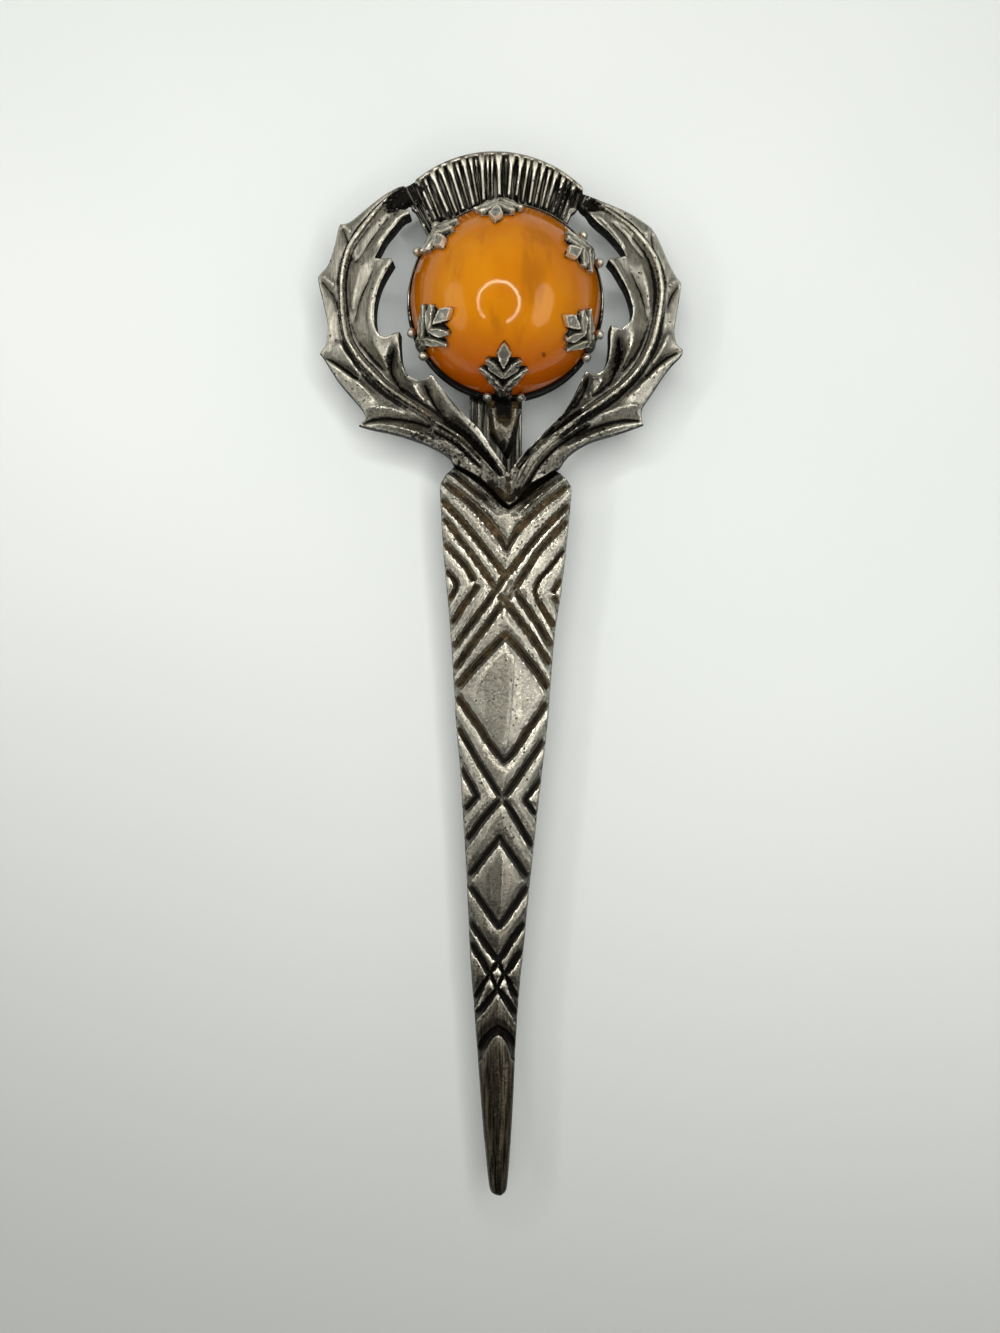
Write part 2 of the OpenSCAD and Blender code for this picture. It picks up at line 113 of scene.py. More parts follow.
def closed_outline(stretches, step):
    """Closed outline of smooth stretches with a corner between each two. Each starts where the last ended."""
    rows = []
    last = stretches[-1][-1]
    for stretch in stretches:
        rows.extend(smooth_curve(np.vstack([last, stretch]), step)[:-1])
        last = stretch[-1]
    return np.array(rows)


def looped(outline):
    """A closed outline as a line that ends where it starts."""
    return np.vstack([outline, outline[:1]])


def across(ahead):
    """Unit vectors in plan to the right of the given directions."""
    return np.stack([ahead[:, 1], -ahead[:, 0]], 1) / np.maximum(np.hypot(*ahead.T), TINY)[:, None]


# Stretch of a line, in points, that is set aside at once where it is far from a place
NEAR_CHUNK = 8


def near_line(points, line, reach):
    """Distance from each point to a line, and how far along the line that is. Far points get the reach."""
    away = np.full(len(points), float(reach))
    along = np.zeros(len(points))
    run = 0.0
    for first in range(0, len(line) - 1, NEAR_CHUNK):
        part = line[first : first + NEAR_CHUNK + 1, :2]
        low, high = part.min(0) - reach, part.max(0) + reach
        close = (points[:, 0] > low[0]) & (points[:, 0] < high[0])
        close = np.flatnonzero(close & (points[:, 1] > low[1]) & (points[:, 1] < high[1]))
        p = points[close]
        best, place = away[close], along[close]
        for a, b in zip(part[:-1], part[1:]):
            span = b - a
            length = math.hypot(*span)
            if length < TINY:
                continue
            if len(close):
                k = np.clip(((p - a) @ span) / length**2, 0, 1)
                d = np.hypot(*(p - a - k[:, None] * span).T)
                nearer = d < best
                best[nearer] = d[nearer]
                place[nearer] = run + k[nearer] * length
            run += length
        away[close] = best
        along[close] = place
    return away, along


def length_of(line):
    return float(np.hypot(*np.diff(line[:, :2], axis=0).T).sum())


def inside(points, outline):
    """Whether each point lies inside a closed outline."""
    x, y = points[:, 0], points[:, 1]
    result = np.zeros(len(points), bool)
    for (ax, ay), (bx, by) in zip(outline[:, :2], np.roll(outline[:, :2], -1, axis=0)):
        if ay == by:
            continue
        crosses = (ay > y) != (by > y)
        result ^= crosses & (x < ax + (y - ay) * (bx - ax) / (by - ay))
    return result


# Carved lines: each adds its own profile to the face below it. A profile gives its share of the line's
# height at a distance from the middle, and a fold runs out at four times its width


def bead(d, width):
    return np.clip(1 - (d / width) ** 2, 0, 1) ** 0.7


def channel(d, width):
    return np.clip(1 - (d / width) ** 4, 0, 1)


def trough(d, width):
    return np.clip(1 - (d / width) ** 2.4, 0, 1)


FOLD_REACH = 4.0


def fold(d, width):
    return np.exp(-d / width) * np.clip(FOLD_REACH - d / width, 0, 1)


REACH = {bead: 1.0, channel: 1.0, trough: 1.0, fold: FOLD_REACH}


def spread(width, share):
    """Width at each share of a line's length: one width, or a tuple of them, evenly spaced along it."""
    if np.ndim(width) == 0:
        return width
    return np.interp(share, np.linspace(0, 1, len(width)), width)


def carve(points, line, profile, width, height, fade=(0.0, 0.0)):
    """Height that a carved line adds at each point. Its ends fade over the given lengths."""
    d, along = near_line(points, line, np.max(width) * REACH[profile])
    total = length_of(line)
    result = height * profile(d, spread(width, along / total))
    if fade[0]:
        result *= np.clip(along / fade[0], 0, 1)
    if fade[1]:
        result *= np.clip((total - along) / fade[1], 0, 1)
    return result


# Relief solids


class Occupied:
    """Fine grid that tells which places are too near a mesh point already chosen."""

    CELL = 0.02
    MARGIN = 1.0

    def __init__(self, low, high):
        self.low = low - self.MARGIN
        shape = ((high - low + 2 * self.MARGIN) / self.CELL).astype(int) + 2
        self.taken = np.zeros(tuple(shape), bool)

    def choose(self, points):
        """Keeps the points that lie on no place marked before."""
        cells = ((points - self.low) / self.CELL).astype(int)
        return points[~self.taken[cells[:, 0], cells[:, 1]]]

    def mark(self, points, gap):
        cells = ((points - self.low) / self.CELL).astype(int)
        reach = int(gap / self.CELL)
        for dx in range(-reach, reach + 1):
            for dy in range(-reach, reach + 1):
                if dx * dx + dy * dy <= reach * reach:
                    self.taken[cells[:, 0] + dx, cells[:, 1] + dy] = True


def hex_grid(low, high, step):
    xs = np.arange(low[0], high[0] + step, step)
    ys = np.arange(low[1], high[1] + step, step * math.sqrt(0.75))
    grid_x, grid_y = np.meshgrid(xs, ys)
    grid_x[::2] += step / 2
    return np.stack([grid_x.ravel(), grid_y.ravel()], 1)


def outward(outline):
    """Unit normals of a closed outline in plan, pointing out of it."""
    normals = across(np.roll(outline, -1, axis=0)[:, :2] - np.roll(outline, 1, axis=0)[:, :2])
    x, y = outline[:, 0], outline[:, 1]
    turn = np.sum(x * np.roll(y, -1) - y * np.roll(x, -1))
    return normals if turn > 0 else -normals


def triangulate(outline, extra):
    """Triangles over a closed outline through extra points: points, triangles and where the outline's are."""
    count = len(outline)
    coordinates = [Vector(p) for p in np.vstack([outline, extra])]
    points, _, faces, origins, _, _ = delaunay_2d_cdt(coordinates, [], [list(range(count))], 1, 1e-6, True)
    place = {}
    for i, sources in enumerate(origins):
        for s in sources:
            place[s] = i
    points = np.array([tuple(p) for p in points])
    faces = np.array([tuple(f) for f in faces])
    rim_index = [place[i] for i in range(count)]
    kept = inside(points[faces].mean(1), points[rim_index])
    return points, [tuple(f) for f in faces[kept].tolist()], rim_index


# Share of the room up to the rim's other side that a moved rim may take
ROOM_SHARE = 0.85


def moved_rim(rim, normals, amount):
    """Closed outline moved along its normals, by less where it would cross itself."""
    amount = np.broadcast_to(np.reshape(amount, (-1, 1)), (len(rim), 1)).copy()
    way = normals * np.sign(amount)
    for i in range(len(rim)):
        away = rim - rim[i]
        ahead = away @ way[i]
        near = ahead > 1e-6
        if near.any():
            room = np.min(np.sum(away[near] ** 2, axis=1) / (2 * ahead[near]))
            amount[i] = np.sign(amount[i]) * min(abs(amount[i, 0]), ROOM_SHARE * room)
    return rim + normals * amount


# Mesh of a relief: rings of points inside its rim, and how far points stay from the rim's, from those on
# carved lines and, as a share of the step, from the filling's
ROUND_RINGS = (0.06, 0.14)
RIM_GAP = 0.04
LINE_GAP = 0.045
FILLING_GAP = 0.55
# Shares of a wall's height with a row of points, and the coarser mesh of the back
WALL_SHARES = (0.12, 0.45)
BACK_STEP = 0.9
BACK_GAP = 0.5


def relief(name, outline, lines, height, step=0.12, round_r=0.22, floor=0.0, bevel=0.12):
    """Closed solid over an outline: height(points, faces) gives its face, and its walls drop to the casting's
    back or to a floor above it. Its upper edge is rounded, its lower one bevelled. lines are the lines that
    the mesh follows. A fourth column of the outline is how far its walls spread."""
    rim = outline[:, :2]
    draft = outline[:, 3:4] if outline.shape[1] > 3 else 0.0
    normals = outward(rim)
    low, high = rim.min(0), rim.max(0)
    grid = Occupied(low, high)
    grid.mark(rim, RIM_GAP)
    chosen = []
    loop = looped(rim)
    for ring in ROUND_RINGS:
        points = rim - normals * ring
        d, _ = near_line(points, loop, 1.0)
        points = grid.choose(points[(d > ring * 0.9) & inside(points, rim)])
        grid.mark(points, RIM_GAP)
        chosen.append(points)
    for line in lines:
        points = line[:, :2]
        points = grid.choose(points[inside(points, rim)])
        grid.mark(points, LINE_GAP)
        chosen.append(points)
    fixed = np.vstack(chosen)
    for known in (rim, fixed):
        grid.mark(known, step * FILLING_GAP)
    filling = hex_grid(low, high, step)
    filling = grid.choose(filling[inside(filling, rim)])
    points, faces, rim_index = triangulate(rim, np.vstack([fixed, filling]))

    away, _ = near_line(points, loop, round_r)
    drop = round_r * (1 - np.sqrt(np.clip(1 - (1 - away / round_r) ** 2, 0, 1)))
    tops = np.maximum(height(points, faces) - drop, floor + bevel + 0.1)

    verts = [*np.column_stack([points, BACK_Z + tops])]
    count = len(rim_index)
    rim_top = tops[rim_index]
    foot = moved_rim(rim, normals, draft)
    levels = [rim_index]
    for share in WALL_SHARES:
        ring = rim + (foot - rim) * share
        z = BACK_Z + rim_top + (floor + bevel - rim_top) * share
        levels.append(range(len(verts), len(verts) + count))
        verts.extend(np.column_stack([ring, z]))
    back_rim = moved_rim(foot, outward(foot), -0.7 * bevel)
    for ring, z in ((foot, floor + bevel), (back_rim, floor)):
        levels.append(range(len(verts), len(verts) + count))
        verts.extend(np.column_stack([ring, np.full(count, BACK_Z + z)]))
    for upper, lower in zip(levels[:-1], levels[1:]):
        for i in range(count):
            j = (i + 1) % count
            faces.append((upper[i], lower[i], lower[j], upper[j]))
    filling = hex_grid(low, high, BACK_STEP)
    d, _ = near_line(filling, looped(back_rim), 1.0)
    filling = filling[inside(filling, back_rim) & (d > BACK_GAP)]
    points, back, back_index = triangulate(back_rim, filling)
    known = dict(zip(back_index, levels[-1]))
    for i, p in enumerate(points):
        if i not in known:
            known[i] = len(verts)
            verts.append((*p, BACK_Z + floor))
    faces.extend(tuple(known[i] for i in reversed(face)) for face in back)
    return make_mesh(name, np.array([tuple(v) for v in verts]), faces)


def new_object(name, data):
    obj = bpy.data.objects.new(name, data)
    bpy.context.scene.collection.objects.link(obj)
    return obj


def make_mesh(name, verts, faces):
    """Object from places in mm."""
    mesh = bpy.data.meshes.new(name)
    mesh.from_pydata((np.asarray(verts) * MM).tolist(), [], faces)
    mesh.validate()
    shell = bmesh.new()
    shell.from_mesh(mesh)
    bmesh.ops.recalc_face_normals(shell, faces=shell.faces)
    shell.to_mesh(mesh)
    shell.free()
    return new_object(name, mesh)


# Leaves: their outline runs down the left teeth, round the point of the V, up the right teeth, and back along
# both leaves' lobes. Rows are (px, py, height above the casting's back)

LEFT_TEETH = [
    [(405, 186, 1.8), (388, 192, 1.5), (370, 205, 1.3), (350, 221.5, 1.2), (340, 224, 1.0)],
    [(338, 229, 1.1), (334, 247, 1.2), (328, 264, 1.2), (318, 276, 1.0)],
    [(319, 284, 1.1), (324, 305, 1.2), (327.5, 325, 1.3), (326, 343, 1.2), (320, 352.5, 1.0)],
    [(324, 358, 1.1), (338, 380, 1.3), (354, 399, 1.4), (363, 410, 1.3), (365, 418, 1.2), (359, 425, 1.0)],
    [(370, 428, 1.2), (390, 432, 1.4), (410, 437.5, 1.6), (430, 445, 1.8), (448, 455, 2.1), (454, 464, 2.3)],
]
POINT_OF_V = [
    [(463, 468, 2.6), (478, 476.5, 2.9), (492, 487.6, 3.1), (500, 497.5, 3.2), (509, 505.5, 3.2)],
    [(517.6, 498.5, 3.2), (530, 484.5, 3.1), (546, 475, 2.8), (559, 467, 2.3)],
]
RIGHT_TEETH = [
    [(570, 453, 2.0), (590, 441, 1.8), (620, 432, 1.4), (643.5, 424, 1.0)],
    [(641.5, 415, 1.1), (643, 406, 1.2), (651, 394, 1.3), (668, 369, 1.3), (681, 355, 1.1), (683, 349, 1.0)],
    [(677.5, 344.5, 1.2), (674.5, 332, 1.3), (676.5, 315, 1.3), (680, 294, 1.1), (681, 282, 1.0)],
    [(676, 276, 1.1), (669, 263, 1.2), (658, 238, 1.1), (653, 230, 1.0)],
    [(648, 225, 1.1), (630, 213, 1.3), (610, 204, 1.5), (590, 196, 1.7), (583, 193.5, 1.8)],
]
RIGHT_LOBES = [
    [(578, 200, 1.7), (581, 208, 1.7), (586.5, 212.5, 1.8)],
    [(589.5, 213, 2.9), (591, 215.5, 3.0)],
    [(598, 222.5, 3.0), (607, 230, 3.0), (615, 238.5, 3.0), (622.5, 248, 2.95), (626, 255.5, 2.9)],
    [(618.3, 256.9, 2.9), (611, 257.8, 3.0), (608.5, 259.5, 3.0)],
    [(614.5, 267, 3.0), (621, 278, 3.0), (627, 289, 2.95), (631, 301, 2.9), (632.8, 312, 2.9),
     (630, 321, 2.9), (621.5, 328.5, 2.9)],
    [(616, 326, 2.9), (611, 324.5, 2.9)],
    [(610.3, 332, 2.9), (610.2, 345, 2.9), (608, 360, 2.9), (603, 369.5, 2.9), (595.5, 373.5, 2.9),
     (586, 370.5, 2.9)],
    [(580, 384, 2.9), (574, 396, 3.0), (565, 410, 3.2), (554, 422.5, 3.3), (542, 434.5, 3.5),
     (530, 446.5, 3.8), (521.5, 456, 3.9), (515.5, 464, 4.0), (508.5, 471.5, 4.0)],
]
LEFT_LOBES = [
    [(502, 463.5, 4.0), (496, 454, 3.9), (488.5, 443, 3.8), (478, 428.5, 3.6), (467, 417.5, 3.4),
     (455, 404.5, 3.2), (443.5, 390, 3.0), (431, 373, 2.9)],
    [(427, 377, 2.9), (420, 379.7, 2.9), (412.5, 377.5, 2.9), (406, 372, 2.9), (401.5, 362, 2.9),
     (399.6, 347, 2.9), (399.2, 331.5, 2.9)],
    [(394, 332.5, 2.9), (386, 335.8, 2.9), (380, 335, 2.9)],
    [(375.6, 328, 2.9), (374.2, 317, 2.9), (374.8, 304, 2.9), (377.5, 291, 2.95), (381, 281, 3.0),
     (386, 271.5, 3.0), (392.8, 260.5, 3.0)],
    [(390, 257.5, 3.0), (382, 258, 2.9), (374.6, 257.5, 2.9)],
    [(378.5, 250, 2.95), (385, 238, 3.0), (393, 228, 3.0), (402, 217.5, 3.0), (409.5, 213.5, 2.9)],
    [(408.5, 210.3, 2.9), (403, 208.8, 2.9), (397, 208.4, 2.8)],
    [(403.5, 205, 1.8), (409, 201.5, 1.7)],
]

# Lines that the leaves' face passes through, as a film stretched between them
LEAF_LINES = [
    # Left leaf: the foot of its vein, then the valleys on both sides of it
    [(400, 189, 1.75), (383, 203, 1.7), (368, 220, 1.7), (358, 233, 1.75), (350, 245, 1.8), (345, 260, 1.85),
     (342, 274, 1.9), (341.3, 290, 1.9), (342, 305, 1.9), (343.5, 320, 1.9), (348, 341, 2.0),
     (359.3, 359, 2.0), (372.7, 373.3, 2.0), (386, 386.7, 2.1), (400.5, 397, 2.2), (420, 410, 2.4),
     (440, 425, 2.7), (458, 438, 3.0), (476, 454, 3.2), (491, 470, 3.4), (501, 484, 3.4)],
    [(366, 216, 1.5), (353, 231, 1.4), (345, 247, 1.4), (339.5, 262, 1.35), (336.5, 280, 1.35),
     (336, 300, 1.35), (337.5, 320, 1.35), (342, 343, 1.35), (352.5, 362, 1.3), (365.5, 378, 1.2),
     (380, 391.5, 1.2), (395, 402, 1.3), (415, 417, 1.6), (436, 432, 2.0)],
    [(352.5, 258, 1.4), (348.5, 272, 1.6), (347, 288, 1.6), (348, 305, 1.5), (351, 322, 1.4),
     (356.5, 338, 1.4), (367, 352, 1.4), (380, 366, 1.35), (393.5, 380, 1.35), (408, 392.5, 1.4),
     (426, 405, 1.5), (446, 419.5, 1.75), (463, 433, 2.0), (480, 449, 2.35), (494, 464.5, 2.9)],
    # Its valleys between the vein and the lobes, and the pale tongue between them
    [(388, 219, 2.2), (375, 235, 2.1), (361.5, 254, 1.8), (354, 262.5, 1.5)],
    [(374.6, 267, 2.3), (370.5, 277, 2.2), (364.7, 289, 2.0), (360, 300, 1.8), (356.5, 312, 1.6),
     (354, 321, 1.45)],
    [(361, 263, 2.3), (357.5, 278, 2.3), (354.8, 293, 2.2), (353, 308, 1.9)],
    [(385, 213.5, 2.2), (371, 228.5, 2.1), (362, 241, 1.9), (357, 252, 1.55)],
    # Folds that run in from the tips of its teeth
    [(341.5, 226.5, 1.0), (344.5, 233, 1.1), (347, 241, 1.3)],
    [(320.5, 278.5, 0.95), (327, 286.5, 1.05), (333, 295, 1.2), (336, 303, 1.3)],
    [(343, 225.5, 1.35), (350, 231, 1.6), (351, 231.5, 1.6)],
    [(324, 277, 1.3), (333, 284, 1.65)],
    [(322.5, 355.2, 0.95), (333, 361, 0.9), (345, 369.5, 0.9), (357, 379.5, 1.0)],
    [(323, 356.5, 1.2), (335, 365.5, 1.65), (350, 375.5, 1.8), (360, 384.5, 1.9), (372, 397, 1.65)],
    [(339.5, 343, 1.75), (348.5, 356.5, 1.85), (358, 371, 1.75)],
    [(363, 422, 1.0), (370, 419.2, 0.95), (385, 418, 0.95), (400, 419, 1.0), (415, 421.8, 1.2),
     (430, 427, 1.6)],
    [(366, 425, 1.25), (382, 424.5, 1.75), (400, 427.5, 1.95), (420, 434, 2.1), (440, 444.5, 2.4)],
    [(371, 407, 1.75), (386, 408, 1.65), (402, 413, 1.5)],
    # Hollow behind its top lobe, and hollows inside the two lower lobes
    [(396.5, 206.9, 1.35), (392.5, 209.3, 1.3), (389, 210.3, 1.3)],
    [(403.5, 191.5, 1.9), (396.5, 200, 2.0), (390, 207.5, 2.1), (385.5, 214.5, 2.3)],
    [(401.5, 196.5, 1.3), (396.5, 203, 1.2), (392, 208, 1.2)],
    [(394, 350, 1.9), (391, 362, 1.3), (391.5, 372, 1.2), (397, 383, 1.3), (405, 392, 1.6)],
    [(371, 328, 2.6), (375, 342, 2.7), (382, 355, 2.7), (387.5, 366, 2.3)],
    [(388.5, 344, 2.75), (386.5, 356, 2.6)],
    [(425, 385, 1.9), (429.5, 395, 1.6), (436, 406.5, 1.7), (445, 416.5, 2.1)],
    [(414, 385.5, 2.8), (417, 394, 2.5), (424, 401, 2.2)],
    [(436.5, 387, 2.75), (448, 403.5, 2.9), (461, 418.5, 3.1), (474, 432.5, 3.4), (487, 449.5, 3.6),
     (499, 466.5, 3.7)],
    # Right leaf: the foot of its vein, then the valleys on both sides of it
    [(593, 199, 1.75), (607, 210, 1.7), (620, 218.7, 1.7), (632, 228, 1.75), (641.2, 238, 1.8),
     (651, 251, 1.85), (656.5, 262, 1.9), (660.3, 277, 1.9), (661.7, 292, 1.9), (660.5, 306, 1.9),
     (657.6, 323.5, 1.9), (651.9, 343.6, 2.0), (644.2, 360.8, 2.0), (634.6, 374.2, 2.0), (621.2, 387.6, 2.1),
     (607.8, 398.1, 2.2), (591.6, 409.6, 2.4), (574.4, 423, 2.7), (557, 436, 3.0), (541, 449.5, 3.2),
     (528, 463.5, 3.4), (518, 480, 3.4)],
    [(611, 206.5, 1.5), (627, 218, 1.4), (640, 230.5, 1.4), (652, 245.5, 1.4), (661, 262, 1.35),
     (666.5, 280, 1.35), (668, 298, 1.35), (666, 314, 1.35), (661, 336, 1.35), (654.5, 353, 1.35),
     (644, 369.5, 1.3), (630.5, 384.5, 1.2), (615.5, 399.5, 1.2), (598, 412, 1.3), (581, 424.5, 1.6),
     (563, 438.5, 2.0)],
    [(633, 236.5, 1.7), (641, 247, 1.5), (647.5, 260, 1.4), (652, 276, 1.4), (653.8, 292, 1.4),
     (652.5, 308, 1.4), (648.5, 324, 1.4), (642, 341, 1.4), (634.5, 355.5, 1.4), (625, 367.5, 1.35),
     (611.5, 380.5, 1.35), (597, 392, 1.4), (581, 402.5, 1.5), (565, 415.5, 1.75), (549, 429, 2.0),
     (534, 443.5, 2.35), (521.5, 459, 2.9)],
    # Its valleys between the vein and the lobes, and the tongue between them
    [(612, 223.6, 2.2), (622.8, 233.6, 2.0), (632, 244.3, 1.8), (639.7, 253.5, 1.6), (644, 259, 1.5)],
    [(630.5, 272, 2.3), (635, 282, 2.1), (640, 292, 1.9), (644.5, 306, 1.7), (648, 322, 1.45)],
    [(641, 264, 2.3), (645.5, 278, 2.3), (648, 292, 2.2), (648.8, 306, 1.9)],
    [(612, 216, 2.2), (623, 225, 2.15), (632.5, 235.5, 2.0)],
    # Folds that run in from the tips of its teeth
    [(652.3, 232, 1.0), (652.8, 240, 1.1), (653.8, 248, 1.3)],
    [(679.5, 284, 0.95), (674.5, 291, 1.0), (670, 300, 1.15), (668, 309, 1.3)],
    [(650, 230.5, 1.35), (645.5, 233, 1.6), (645, 233.5, 1.6)],
    [(676, 281, 1.35), (670, 285, 1.65)],
    [(680, 350.5, 0.95), (668, 356.5, 0.95), (656, 366, 0.95), (646, 377, 1.05)],
    [(679, 353, 1.2), (667, 362, 1.65), (653, 373.5, 1.8), (640, 388, 1.75), (629, 398, 1.6)],
    [(668, 335, 1.75), (662.5, 348, 1.85), (654, 362, 1.7)],
    [(640, 419.5, 1.0), (625, 419.8, 0.95), (608, 423, 1.0), (591, 428.5, 1.2), (575, 436.5, 1.6)],
    [(639, 422.5, 1.25), (622, 425.5, 1.75), (604, 430.5, 1.95), (585, 438.5, 2.1), (569, 447.5, 2.4)],
    [(637, 405, 1.7), (620, 408, 1.65), (604, 414.5, 1.5)],
    # Hollow behind its top lobe, and hollows inside the two lower lobes
    [(590.5, 211, 1.3), (597, 210.3, 1.25), (603, 211.3, 1.3)],
    [(590.8, 212.6, 2.8), (597, 211.9, 2.8), (604.5, 213, 2.7)],
    [(594, 203, 1.8), (602, 209.3, 2.0), (608.5, 215, 2.3)],
    [(590, 204, 1.3), (597, 208, 1.2), (603.5, 211.5, 1.3)],
    [(618.5, 338, 1.9), (619.5, 350, 1.3), (618, 362, 1.2), (613.5, 375, 1.3), (609, 385, 1.6)],
    [(634, 330, 2.6), (631, 345, 2.7), (625.5, 358, 2.6), (620.5, 370, 2.2)],
    [(588, 379, 1.9), (584.5, 390, 1.5), (578, 401, 1.5), (570, 410.5, 2.0)],
    [(602, 379.5, 2.8), (598.5, 388, 2.4), (591, 395, 2.1)],
]


# Film: how often it is evened out with its known heights held, and then without, and how it starts
MEMBRANE_ROUNDS = 250
MEMBRANE_SOFTENING = 2
MEMBRANE_NEIGHBOURS = 10
MEMBRANE_NEAREST = 1e-4


def membrane(points, faces, known, heights):
    """Heights of a film stretched over the mesh between the points whose heights are known."""
    corners = np.array([f[:3] for f in faces])
    edges = np.vstack([corners[:, [0, 1]], corners[:, [1, 2]], corners[:, [2, 0]]])
    edges = np.unique(np.sort(edges, axis=1), axis=0)
    a = np.concatenate([edges[:, 0], edges[:, 1]])
    b = np.concatenate([edges[:, 1], edges[:, 0]])
    count = len(points)
    degree = np.maximum(np.bincount(a, minlength=count), 1)
    tree = KDTree(len(known))
    for i, k in enumerate(known):
        tree.insert((*points[k], 0), i)
    tree.balance()
    film = np.empty(count)
    for i, p in enumerate(points):
        found = tree.find_n((*p, 0), MEMBRANE_NEIGHBOURS)
        weights = [1 / (d * d + MEMBRANE_NEAREST) for _, _, d in found]
        film[i] = sum(w * heights[j] for w, (_, j, _) in zip(weights, found)) / sum(weights)
    film[known] = heights
    for _ in range(MEMBRANE_ROUNDS):
        film = np.bincount(a, weights=film[b], minlength=count) / degree
        film[known] = heights
    for _ in range(MEMBRANE_SOFTENING):
        film = 0.5 * film + 0.5 * np.bincount(a, weights=film[b], minlength=count) / degree
    return film


ON_LINE = 0.012


def heights_on(points, lines):
    """Points that lie on the lines, and the lines' heights there."""
    found = {}
    for line in lines:
        d, along = near_line(points, line, 4 * ON_LINE)
        run = np.concatenate([[0], np.cumsum(np.hypot(*np.diff(line[:, :2], axis=0).T))])
        hits = np.flatnonzero(d < ON_LINE)
        for i, h in zip(hits, np.interp(along[hits], run, line[:, 2])):
            found[i] = h
    return np.array(list(found)), np.array(list(found.values()))


# Height above the back at which the leaves' carved lines are placed
LEAF_CARVING_HEIGHT = 2.0
